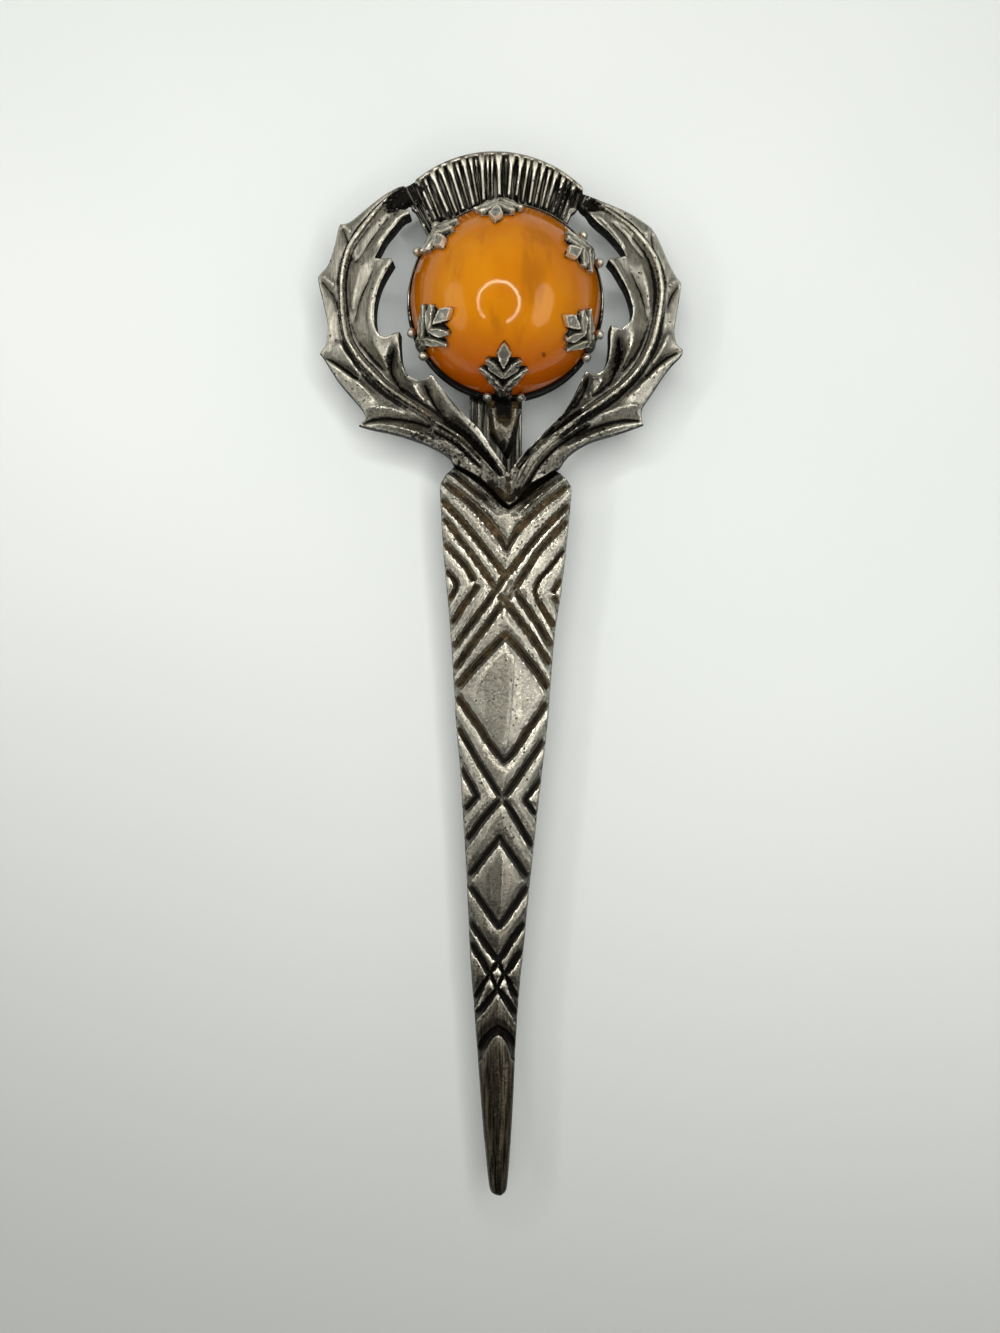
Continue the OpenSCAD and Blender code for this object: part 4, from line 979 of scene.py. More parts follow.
def plume():
    step = 0.115
    arc = arc_points(PLUME_ARC, PLUME_ARC_R, *PLUME_ARC_DEG, 25)
    stretches = [PLUME_LEFT_SIDE, PLUME_FOOT + PLUME_RIGHT_SIDE[:1], PLUME_RIGHT_SIDE[1:], arc]
    outline = closed_outline([spots(s, PLUME_FACE) for s in stretches], step)
    top = spots(arc_points(PLUME_ARC, PLUME_ARC_R, 35, 140, 60), PLUME_FACE)
    ridges = []
    for start, end, width, height in PLUME_RIDGES:
        ridges.append((spots([start, end], PLUME_FACE)[:, :2], width / PIXELS_PER_MM, height))

    def height(points, _):
        from_top, _ = near_line(points, top, 6.0)
        face = np.full(len(points), VALLEY_T)
        for line, width, rise in ridges:
            d, along = near_line(points, line, 1.0)
            share = np.clip(along / length_of(line), 0, 1)
            half = width * (RIDGE_W[0] + (RIDGE_W[1] - RIDGE_W[0]) * share)
            flare = 1 + RIDGE_FLARE * np.clip(1 - along / RIDGE_FLARE_L, 0, 1) ** 1.5
            crest = rise * RIDGE_H * np.clip(1 - (d / (half * flare)) ** 4, 0, 1)
            ends = np.clip((length_of(line) - along) / RIDGE_FADE + 0.5, 0, 1)
            face = np.maximum(face, VALLEY_T + crest * ends)
        rim = VALLEY_T + RIDGE_H * np.clip((RIM_W + RIM_SLOPE - from_top) / RIM_SLOPE, 0, 1)
        return clear_of_setting(points, np.maximum(face, rim))

    lines = setting_lines()
    for line, width, _ in ridges:
        middle = smooth_curve(line, step)
        ahead = (line[1] - line[0]) / length_of(line)
        side = np.array([ahead[1], -ahead[0]])
        half = width * np.linspace(RIDGE_W[0], RIDGE_W[1], len(middle))[:, None]
        lines += [middle] + [middle + side * half * share for share in (1, -1, 0.5, -0.5)]
    return relief("casting_plume", outline, lines, height, step, round_r=0.1, floor=0.04)


# Small bridges between the plume and the leaves: outline and height, which falls towards the edge
BRIDGES = [
    ([(402, 186.5), (409, 183.5), (415, 180.5), (422, 186), (425, 197), (417, 206), (411, 203),
      (405.5, 204.5), (399, 208.5), (391, 210), (389, 199)], 1.75),
    ([(571, 196), (576, 203), (578, 206.5), (583, 208.5), (588, 210), (594, 206), (595, 199), (590, 195),
      (583, 194.5), (577, 190)], 1.6),
]


BRIDGE_FALL = 0.5
BRIDGE_ROUND = 0.7
BRIDGE_FLOORS = (0.06, 0.08)


def bridge(number):
    points, top = BRIDGES[number]
    outline = smooth_curve(looped(spots(points, top)), 0.12)[:-1]
    loop = looped(outline)

    def height(points, _):
        d, _ = near_line(points, loop, 1.2)
        return top - BRIDGE_FALL * (1 - np.clip(d / BRIDGE_ROUND, 0, 1)) ** 2

    floor = BRIDGE_FLOORS[number]
    return relief(f"casting_bridge_{number}", outline, [], height, 0.14, round_r=0.2, floor=floor)


# Thistle's foot below the stone: a wedge that narrows and falls down to the V, with a facet line on each side

STEM_EDGE = [
    [(486.5, 386), (487, 405.5), (489, 416), (490.3, 429.7), (493.4, 436), (498.7, 443.4), (504, 451.8)],
    [(508, 456.5), (511.3, 448.6)],
    [(514.5, 441), (517.6, 429.7), (519.7, 416), (521.8, 404.5), (521, 386)],
    [(503, 383)],
]
STEM_FACETS = [
    [(491.5, 399), (492.5, 415), (494.5, 429), (500, 440)],
    [(517, 399), (515.5, 415), (513.5, 430), (509, 442)],
]
STEM_T = 1.9
STEM_FALL = 0.75
STEM_ROUND = 1.1
STEM_TOE_L = 3.2
FACET_H = 0.12
FACET_W = 0.3


def stem():
    step = 0.11
    outline = closed_outline([spots(s, STEM_T) for s in STEM_EDGE], step)
    loop = looped(outline)
    foot_y = outline[:, 1].min()
    ridges = [spots(line, STEM_T)[:, :2] for line in STEM_FACETS]

    def height(points, _):
        d, _ = near_line(points, loop, STEM_ROUND)
        face = STEM_T - STEM_FALL * (1 - d / STEM_ROUND) ** 2
        face -= STEM_FALL * np.clip(1 - (points[:, 1] - foot_y) / STEM_TOE_L, 0, 1) ** 1.5
        for ridge in ridges:
            away, _ = near_line(points, ridge, FACET_W)
            face += FACET_H * (1 - away / FACET_W)
        return clear_of_setting(points, face)

    lines = [*setting_lines(), *ridges]
    return relief("casting_stem", outline, lines, height, step, round_r=0.15, floor=0.05)


# Plate behind the setting: its radius, and how high its faces lie above the casting's back
PLATE_R = 9.5
PLATE_FACES = (0.03, 0.97)


def lathe(name, profile, sides, centre):
    """Closed solid turned about a vertical axis, from (r, z) rows in mm that start and end on the axis."""
    verts = []
    rings = []
    for r, z in profile:
        if r < TINY:
            rings.append([len(verts)])
            verts.append((centre[0], centre[1], z))
            continue
        rings.append(list(range(len(verts), len(verts) + sides)))
        for k in range(sides):
            turn = 2 * math.pi * k / sides
            verts.append((centre[0] + r * math.cos(turn), centre[1] + r * math.sin(turn), z))
    faces = []
    for a, b in zip(rings[:-1], rings[1:]):
        for k in range(sides):
            m = (k + 1) % sides
            corners = [a[k % len(a)], b[k % len(b)], b[m % len(b)], a[m % len(a)]]
            faces.append(tuple(dict.fromkeys(corners)))
    return make_mesh(name, verts, faces)


def plate():
    low, high = (BACK_Z + face for face in PLATE_FACES)
    profile = [(0, low), (PLATE_R - 0.15, low), (PLATE_R, low + 0.12), (PLATE_R, high - 0.2),
               (PLATE_R - 0.15, high), (0, high)]
    return lathe("casting_plate", profile, 128, (STONE_X, STONE_Y))


def fused(name, pieces):
    """One solid from pieces that overlap."""
    body = pieces[0]
    for piece in pieces[1:]:
        join = body.modifiers.new("join", "BOOLEAN")
        join.operation = "UNION"
        join.solver = "MANIFOLD"
        join.object = piece
        bpy.context.view_layer.update()
        mesh = bpy.data.meshes.new_from_object(body.evaluated_get(bpy.context.evaluated_depsgraph_get()))
        body.modifiers.clear()
        old = body.data
        body.data = mesh
        bpy.data.meshes.remove(old)
        bpy.data.objects.remove(piece)
    body.name = name
    body.data.name = name
    return body


# Claw setting

# The claws stand on the dome's round that far from its top, with a gap to the stone
CLAW_FOOT_DEG = 82
CLAW_GAP = 0.1
# Where each claw stands round the stone, its lean and its share of the full length
CLAWS = [(30, 2, 0.84), (91, -7, 0.88), (131, -17, 0.78), (209, 4, 1.0), (268.5, 0, 1.01), (331, -2, 0.9)]
# Half outline of a claw's leaf, in mm across and along from its foot
CLAW_HALF = [
    [(0.38, 7.55), (0.63, 7.0)],
    [(0.66, 6.65), (0.6, 6.3)],
    [(1.05, 6.32), (1.45, 6.3), (1.62, 6.15)],
    [(1.5, 5.75), (1.32, 5.42)],
    [(1.7, 5.3), (2.1, 5.25), (2.26, 5.06)],
    [(2.0, 4.72), (1.57, 4.05), (1.12, 3.25), (0.86, 2.46), (0.78, 1.75), (0.82, 0.8), (0.95, 0.0)],
]
CLAW_TIP = 8.05
CLAW_BASE = 0.16
# Folded lobes of a claw's leaf: half widths and height in mm, and their middle line from its tip
CLAW_LOBES = [
    ((0.34, 0.46, 0.22), 0.52, [(1.6, 6.1), (1.14, 5.66), (0.6, 5.04), (0.12, 4.5)]),
    ((0.34, 0.42, 0.34, 0.2), 0.47, [(2.2, 5.06), (1.64, 4.5), (1.0, 3.75), (0.5, 3.1), (0.16, 2.2),
     (0.12, 1.2)]),
]
# A lobe rises at its tip, is dished along its middle, and its walls slope
LOBE_TIP_H = 0.12
LOBE_TIP_L = 0.5
LOBE_DISH = 0.15
LOBE_EXTRA = 0.06
LOBE_SLOPE = 0.14
# Stalk of the leaf: height, half width, and where it ends and over what length
STALK_H = 0.26
STALK_W = 0.8
STALK_END = 2.9
STALK_FADE = 0.6
# Lozenge at the tip: its half outline from the tip down, and its rim's height, which falls towards the middle
CLAW_LOZENGE = [(0, 8.05), (0.38, 7.55), (0.63, 7.0), (0.4, 6.3), (0, 5.47)]
LOZENGE_H = 0.6
LOZENGE_FALL = 0.14
LOZENGE_SLOPE = 0.32
# Slight waves across a claw
WAVE_H = 0.03
WAVES = 7
# Beads that show beside the claws' feet, in degrees round the stone
BEADS_DEG = (21, 39, 133.5, 152, 200, 215, 259.7, 279, 324, 339)
BEAD_D = 0.93
BEAD_R = 9.52
BEAD_Z = 9.8
BEAD_STRETCH = 1.75
# Dish that the stone sits in: (r, z) rows from the axis out, up and back
COLLAR = [(0, 8.0), (9.3, 8.0), (9.4, 8.1), (9.4, 8.5), (9.37, 9.0), (9.34, 9.2), (9.29, 9.26), (9.2, 9.25),
          (9.16, 9.18), (9.16, 8.5), (0, 8.5)]


def claw(number):
    step = 0.08
    place_deg, lean_deg, length = CLAWS[number]
    right = [np.array([(u, v, 0) for u, v in stretch]) for stretch in CLAW_HALF]
    tip = np.array([(0.0, CLAW_TIP, 0)])
    left = []
    corner_rows = [tip[-1]] + [s[-1] for s in right]
    for k in range(len(right) - 1, -1, -1):
        rows = np.vstack([corner_rows[k], right[k][:-1]])[::-1] * (-1, 1, 1)
        left.append(rows)
    foot_left = right[-1][-1:] * (-1, 1, 1)
    outline = closed_outline([*right, foot_left, *left], step)
    loop = looped(outline)
    lobes = []
    for width, rise, line in CLAW_LOBES:
        for side in (-1, 1):
            lobes.append((width, rise, smooth_curve(np.array(line) * (side, 1), step)))
    half = [np.array(p) for p in CLAW_LOZENGE]
    lozenge = np.array([*half, *[p * (-1, 1) for p in half[-2::-1]]])

    def height(points, _):
        face = np.full(len(points), CLAW_BASE)
        for width, rise, line in lobes:
            d, along = near_line(points, line, 0.7)
            w = spread(width, along / length_of(line))
            top = rise + LOBE_TIP_H * np.clip(1 - along / LOBE_TIP_L, 0, 1)
            top -= LOBE_DISH * np.clip(1 - (d / w) ** 2, 0, 1)
            wall = np.clip((w + LOBE_EXTRA - d) / LOBE_SLOPE, 0, 1)
            face = np.maximum(face, CLAW_BASE + top * wall)
        stalk = np.clip(1 - (points[:, 0] / STALK_W) ** 2, 0, 1)
        stalk *= np.clip((STALK_END - points[:, 1]) / STALK_FADE, 0, 1)
        face = np.maximum(face, CLAW_BASE + STALK_H * stalk)
        d, _ = near_line(points, lozenge, 0.8)
        tip_face = CLAW_BASE + LOZENGE_H - LOZENGE_FALL * np.clip(d / LOZENGE_SLOPE, 0, 1)
        face = np.where(inside(points, lozenge), tip_face, face)
        away, _ = near_line(points, loop, 0.2)
        return face + WAVE_H * np.sin(points[:, 1] * WAVES + number * 2) * (away / 0.2)

    lines = [line for _, _, line in lobes]
    for width, _, line in lobes:
        side = across(np.gradient(line, axis=0))
        reach = spread(width, np.linspace(0, 1, len(line))).reshape(-1, 1)
        lines += [line + side * reach, line - side * reach]
    lines.append(smooth_curve(lozenge, step))
    obj = relief(f"claw_{number}", outline, lines, height, step, round_r=0.1, bevel=0.04)
    bend_over_dome(obj, math.radians(place_deg), math.radians(lean_deg), length)
    return obj


def bend_over_dome(obj, turn, lean, length):
    """Bends a flat claw over the stone, by its place round it, its lean and its share of the full length."""
    out = Vector((math.cos(turn), math.sin(turn), 0))
    aside = Vector((-math.sin(turn), math.cos(turn), 0))
    for vert in obj.data.vertices:
        u, v, lift = vert.co / MM - Vector((0, 0, BACK_Z))
        v *= length
        u, v = u * math.cos(lean) - v * math.sin(lean), u * math.sin(lean) + v * math.cos(lean)
        polar = math.radians(CLAW_FOOT_DEG) - v / DOME_R
        along = out * math.sin(polar) + Vector((0, 0, math.cos(polar)))
        way = along * math.cos(u / DOME_R) + aside * math.sin(u / DOME_R)
        place = Vector((STONE_X, STONE_Y, DOME_Z)) + way * (DOME_R + CLAW_GAP + lift)
        vert.co = place * MM


def small_bead(name, place, radius, squash, seed):
    """Cast bead: a ball pulled a little out of round and stretched in height."""
    ball = bmesh.new()
    bmesh.ops.create_icosphere(ball, subdivisions=3, radius=radius * MM)
    for vert in ball.verts:
        way = vert.co.normalized()
        swell = 1 + 0.05 * math.sin(3 * way.x + seed) + 0.04 * math.sin(4 * way.y + 2 * seed)
        vert.co = Vector((vert.co.x * swell, vert.co.y * swell, vert.co.z * squash)) + Vector(place) * MM
    mesh = bpy.data.meshes.new(name)
    ball.to_mesh(mesh)
    ball.free()
    return new_object(name, mesh)


def claw_setting():
    pieces = [lathe("collar", COLLAR, 160, (STONE_X, STONE_Y))]
    pieces += [claw(number) for number in range(len(CLAWS))]
    for number, degrees in enumerate(BEADS_DEG):
        turn = math.radians(degrees)
        place = (STONE_X + BEAD_R * math.cos(turn), STONE_Y + BEAD_R * math.sin(turn), BEAD_Z)
        pieces.append(small_bead("bead", place, BEAD_D / 2, BEAD_STRETCH, number * 2))
    return fused("thistle_setting", pieces)


DOME_RINGS = 48


def stone():
    rows = [(0, STONE_LOW.z), (STONE_R - 0.25, STONE_LOW.z), (STONE_R - 0.08, STONE_LOW.z + 0.1),
            (STONE_R, STONE_LOW.z + 0.3), (STONE_R, GIRDLE_Z - 0.05)]
    rim = math.asin(STONE_R / DOME_R)
    for k in range(DOME_RINGS):
        polar = rim * (1 - k / DOME_RINGS)
        rows.append((DOME_R * math.sin(polar), DOME_Z + DOME_R * math.cos(polar)))
    rows.append((0, STONE_HIGH.z))
    return lathe("orange_dome", rows, 160, (STONE_X, STONE_Y))


# Wear: how far each place stands proud of the metal round it, kept on the mesh for the materials


def mean_of_neighbours(places, a, b, degree):
    sums = [np.bincount(a, weights=places[b, k], minlength=len(places)) for k in range(3)]
    return np.stack(sums, 1) / degree


def keep_layer(mesh, name, values):
    layer = mesh.attributes.new(name, "FLOAT", "POINT")
    layer.data.foreach_set("value", np.asarray(values, np.float32))


def surface(obj):
    """Places in mm and normals of an object's points."""
    mesh = obj.data
    places = np.empty(len(mesh.vertices) * 3)
    mesh.vertices.foreach_get("co", places)
    normals = np.empty(len(mesh.vertices) * 3)
    mesh.vertex_normals.foreach_get("vector", normals)
    return places.reshape(-1, 3) / MM, normals.reshape(-1, 3)


def wear_maps(obj, scales):
    """Stores, for each (name, rounds), the height in mm of each point over the smoothed surface."""
    mesh = obj.data
    places, normals = surface(obj)
    edges = np.empty(len(mesh.edges) * 2, int)
    mesh.edges.foreach_get("vertices", edges)
    edges = edges.reshape(-1, 2)
    a = np.concatenate([edges[:, 0], edges[:, 1]])
    b = np.concatenate([edges[:, 1], edges[:, 0]])
    degree = np.maximum(np.bincount(a, minlength=len(places)), 1)[:, None]
    smoothed = places.copy()
    done = 0
    for name, rounds in sorted(scales, key=lambda row: row[1]):
        for _ in range(rounds - done):
            smoothed = 0.5 * smoothed + 0.5 * mean_of_neighbours(smoothed, a, b, degree)
        done = rounds
        keep_layer(mesh, name, np.sum((places - smoothed) * normals, axis=1))


# Where the casting is darkened, as rough tarnished metal and as painted shade: amount, reach in px, and a
# line as (px, py). Its first four lines also keep the golden dirt away
GOLDEN_CLEAR = 4
TARNISH_AND_SHADE = [
    # Rough metal below the V's bands
    (0.42, 21, [(420, 435), (446, 448), (466, 461), (486, 480), (500, 496)]),
    (0.32, 21, [(600, 436), (575, 447), (555, 461), (536, 479), (520, 495)]),
    # Painted shade in the deep recess along the V's crest
    (0.95, 6, [(489, 484), (499, 493), (508, 500), (519, 493), (530, 484)]),
    (0.6, 7, [(509, 473), (508, 496)]),
    # Painted shade in the necks between the leaves and the plume, and along the plume's left edge
    (1.0, 16, [(396, 204), (405, 197), (414, 192)]),
    (1.0, 12, [(575, 198), (584, 201), (592, 205)]),
    (0.9, 9, [(412, 184), (424, 216), (432, 240)]),
    (0.6, 14, [(566, 190), (552, 232)]),
    # Thistle's foot: painted shade on its dark middle and its black tip
    (1.6, 12, [(504.5, 388), (505, 416)]),
    (1.2, 9, [(490, 390), (516, 390)]),
    (1.4, 5, [(487, 416), (494, 441), (503, 458), (512, 444), (521, 416)]),
    (0.34, 26, [(503, 395), (503, 440)]),
]
# Painted shade: where the metal is painted dark and streaky, in the same columns
SHADE = [
    (0.8, 30, [(503, 398), (503, 414)]),
    (0.6, 9, [(504, 441), (504, 454)]),
    (0.7, 7, [(509, 474), (508, 500)]),
    (0.62, 23, [(420, 435), (446, 448), (466, 461), (486, 480), (500, 496)]),
    (0.75, 24, [(600, 436), (575, 447), (555, 461), (536, 479), (520, 495)]),
    # Painted shade along the plume's rim
    (0.95, 9, [(414, 181), (430, 169), (452, 159), (475, 153), (499, 151), (523, 154), (545, 161), (565, 172),
               (582, 186)]),
]
# Places with golden brown dirt, beside the blade's upper part
GOLDEN = [
    (1.3, 6, [(489.5, 398), (491, 412), (494, 428)]),
    (1.0, 4, [(515.5, 400), (513.5, 424)]),
    (0.6, 10, [(502, 424), (503, 436)]),
    (0.6, 7, [(509, 474), (508, 497)]),
]
# Places in mm along the pin: painted shade that darkens the metal towards the tip, and the golden dirt's
# stretch of blade
TIP_SHADE = ((-50, -42, -36, -28, -18, -6), (1.0, 1.0, 0.97, 0.84, 0.5, 0.04))
SHOULDER_Y = 18.5
GOLDEN_BLADE = ((-12, 12, SHOULDER_Y - 1, SHOULDER_Y + 0.5), (0.0, 1.0, 1.0, 0.0))
# Field of the plume with faint lines along its valleys, and the point that these run from
PLUME_FIELD = [(405, 190), (440, 150), (500, 135), (550, 150), (590, 190), (565, 250), (430, 250)]
PLUME_FOCUS = (0.5, 28.9)


def lines_map(points, rows):
    """The largest amount that the rows' lines give each point, less with distance up to their reach."""
    total = np.zeros(len(points))
    for amount, reach, line in rows:
        path = smooth_curve(spots(line, 2.0)[:, :2], 0.4)
        d, _ = near_line(points, path, reach / PIXELS_PER_MM)
        total = np.maximum(total, amount * (1 - (d * PIXELS_PER_MM / reach) ** 2))
    return total


def tarnish_and_shade_map(obj):
    """Stores the casting's tarnish and painted shade, which lie on its walls, along the listed lines and
    round the setting, the painted highlight share of its wear, its painted dark metal and its golden dirt."""
    places, normals = surface(obj)
    points = places[:, :2]
    # Below its shoulder the blade's worn places get a painted highlight, bright where they face up the pin
    # towards the light and dim where they face the tip
    facing_light = np.clip(0.5 + 2.2 * normals[:, 1], 0.12, 1.15)
    below = np.clip((SHOULDER_Y - 0.5 - points[:, 1]) / 2, 0, 1)
    # Painted shade on steep walls, on the plate low under the setting, and where the casting meets the
    # collar, the claws' feet and the beads
    on_walls = 0.95 * np.clip((0.55 - normals[:, 2]) / 0.3, 0, 1)
    r, past = past_setting(points)
    on_plate = 0.95 * (r < PLATE_R + 0.1) * (places[:, 2] < BACK_Z + 1.2)
    by_collar = 1.3 * np.clip((SETTING_CLEAR_R + 0.22 - r) / 0.15, 0, 1)
    by_feet = 1.3 * np.clip((0.35 - past) / 0.2, 0, 1)
    tarnish_and_shade = np.max([on_walls, lines_map(points, TARNISH_AND_SHADE), on_plate, by_collar, by_feet], axis=0)
    on_blade = np.interp(points[:, 1], *GOLDEN_BLADE)
    on_blade *= 1 - np.clip(3 * lines_map(points, TARNISH_AND_SHADE[:GOLDEN_CLEAR]), 0, 0.85)
    shade = np.interp(points[:, 1], *TIP_SHADE)
    keep_layer(obj.data, "painted_light_share", 1 + (facing_light - 1) * below)
    keep_layer(obj.data, "shade", np.maximum(shade, lines_map(points, SHADE)))
    keep_layer(obj.data, "tarnish_and_shade", tarnish_and_shade)
    keep_layer(obj.data, "plume", inside(points, spots(PLUME_FIELD, PLUME_FACE)) * 1.0)
    keep_layer(obj.data, "golden", np.clip(np.maximum(on_blade, lines_map(points, GOLDEN)), 0, 1))


# The collar's painted shade ends at that height
COLLAR_TOP = 9.36


def setting_shade_map(obj):
    """Stores the same for the setting, as painted shade: a dark collar, less so at its top end, and film low
    on the claws.
    """
    places, normals = surface(obj)
    r = np.hypot(places[:, 0] - STONE_X, places[:, 1] - STONE_Y)
    rows = sorted((z, radius) for radius, z in COLLAR[1:7])
    rim = np.interp(places[:, 2], [z for z, _ in rows], [radius for _, radius in rows])
    # Painted shade on the collar round the stone and under its edge
    inner = (r > 8.9) & (r < 9.4)
    dark = np.maximum(np.clip(1.6 - np.abs(r - rim) / 0.1, 0, 1), inner * 1.0) * (places[:, 2] < COLLAR_TOP)
    out = places - (STONE_X, STONE_Y, DOME_Z)
    away = np.linalg.norm(out, axis=1)
    lift = away - DOME_R - CLAW_GAP
    facing = np.sum(normals * out, axis=1) / away
    on_claw = np.clip((places[:, 2] - 9.4) / 0.5, 0, 1)
    # The lower side of the setting gets more painted shade, its upper side less film but dark streaky metal
    low = np.clip((STONE_Y - 3 - places[:, 1]) / 4, 0, 1)
    high = np.clip((places[:, 1] - STONE_Y + 3) / 4, 0, 1) * (1 - on_claw)
    # Painted shade as film between a claw's lobes, and on the foot of the lowest claw
    shade_between_lobes = np.maximum(0.4 + 0.5 * low, np.clip((facing - 0.35) / 0.3, 0, 1))
    shade_between_lobes *= on_claw * np.clip((0.28 - lift) / 0.12, 0, 1)
    at_bottom = (places[:, 1] < STONE_Y - 8) & (np.abs(places[:, 0]) < 0.8)
    foot = np.clip((11.2 - places[:, 2]) / 1.2, 0, 1) * at_bottom
    # Painted shade in the claws' dishes, more on the lower side
    dish_shade = on_claw * np.clip((0.5 - lift) / 0.2, 0, 1) * (0.25 + 0.4 * low)
    keep_layer(obj.data, "painted_light_share", 1 - 0.9 * high)
    keep_layer(obj.data, "tarnish_and_shade", np.max([dark * (1 - high), shade_between_lobes, on_claw * low * 0.25, foot], axis=0))
    keep_layer(obj.data, "plume", np.zeros(len(r)))
    keep_layer(obj.data, "golden", np.zeros(len(r)))
    keep_layer(obj.data, "shade", np.maximum(dish_shade, high))


# Materials


class Nodes:
    """Short ways to build a material's node tree."""

    def __init__(self, name):
        self.material = bpy.data.materials.new(name)
        self.material.use_nodes = True
        self.tree = self.material.node_tree
        self.shader = self.tree.nodes["Principled BSDF"]
        self.place = self.add("ShaderNodeTexCoord").outputs["Object"]

    def add(self, kind, **settings):
        node = self.tree.nodes.new(kind)
        for key, value in settings.items():
            setattr(node, key, value)
        return node

    def put(self, value, socket):
        if isinstance(value, bpy.types.NodeSocket):
            self.tree.links.new(value, socket)
        else:
            socket.default_value = value

    def shade(self, name, value):
        self.put(value, self.shader.inputs[name])

    def math(self, operation, *values, clamp=False):
        node = self.add("ShaderNodeMath", operation=operation, use_clamp=clamp)
        for value, socket in zip(values, node.inputs):
            self.put(value, socket)
        return node.outputs[0]

    def plus(self, a, b, clamp=False):
        return self.math("ADD", a, b, clamp=clamp)

    def times(self, a, b, clamp=False):
        return self.math("MULTIPLY", a, b, clamp=clamp)

    def scaled(self, value, factor, more, clamp=False):
        return self.math("MULTIPLY_ADD", value, factor, more, clamp=clamp)

    def axes(self):
        """Place along X and Y."""
        split = self.add("ShaderNodeSeparateXYZ")
        self.put(self.place, split.inputs[0])
        return split.outputs["X"], split.outputs["Y"]

    def ramp(self, value, low, high, start=0.0, end=1.0):
        """Smooth step from start to end as value goes from low to high."""
        node = self.add("ShaderNodeMapRange", interpolation_type="SMOOTHSTEP")
        for item, socket in zip((value, low, high, start, end), node.inputs):
            self.put(item, socket)
        return node.outputs[0]

    def mix(self, share, a, b):
        node = self.add("ShaderNodeMix", data_type="RGBA")
        self.put(share, node.inputs["Factor"])
        for value, socket in ((a, node.inputs[6]), (b, node.inputs[7])):
            self.put(value, socket)
        return node.outputs[2]

    def stretched(self, stretch, turn=(0, 0, 0)):
        node = self.add("ShaderNodeMapping")
        self.put(self.place, node.inputs["Vector"])
        node.inputs["Scale"].default_value = stretch
        node.inputs["Rotation"].default_value = [math.radians(v) for v in turn]
        return node.outputs[0]

    def noise(self, size, detail=3.0, place=None, rough=0.55):
        """Noise from 0 to 1 with features about that many mm wide."""
        node = self.add("ShaderNodeTexNoise")
        self.put(place or self.place, node.inputs["Vector"])
        self.put(1 / (size * MM), node.inputs["Scale"])
        self.put(detail, node.inputs["Detail"])
        self.put(rough, node.inputs["Roughness"])
        return node.outputs["Fac"]

    def cells(self, size, place=None):
        node = self.add("ShaderNodeTexVoronoi")
        self.put(place or self.place, node.inputs["Vector"])
        self.put(1 / (size * MM), node.inputs["Scale"])
        return node.outputs["Distance"]

    def layer(self, name):
        return self.add("ShaderNodeAttribute", attribute_name=name, attribute_type="GEOMETRY").outputs["Fac"]

    def bump(self, height, depth, before=None):
        """Bump whose height of 1 stands for that depth in mm."""
        node = self.add("ShaderNodeBump")
        node.inputs["Strength"].default_value = 1.0
        node.inputs["Distance"].default_value = depth * MM
        self.put(height, node.inputs["Height"])
        if before is not None:
            self.put(before, node.inputs["Normal"])
        return node.outputs[0]


def grey(level, tint=(1.0, 1.0, 1.0)):
    """Linear colour of a screen level from 0 to 255, tinted."""
    share = level / 255
    linear = share / 12.92 if share <= 0.04045 else ((share + 0.055) / 1.055) ** 2.4
    return tuple(linear * t for t in tint) + (1.0,)


def colour(red, green, blue):
    """Linear colour of screen levels from 0 to 255."""
    return tuple(grey(level)[0] for level in (red, green, blue)) + (1.0,)


WARM = (1.0, 0.955, 0.79)


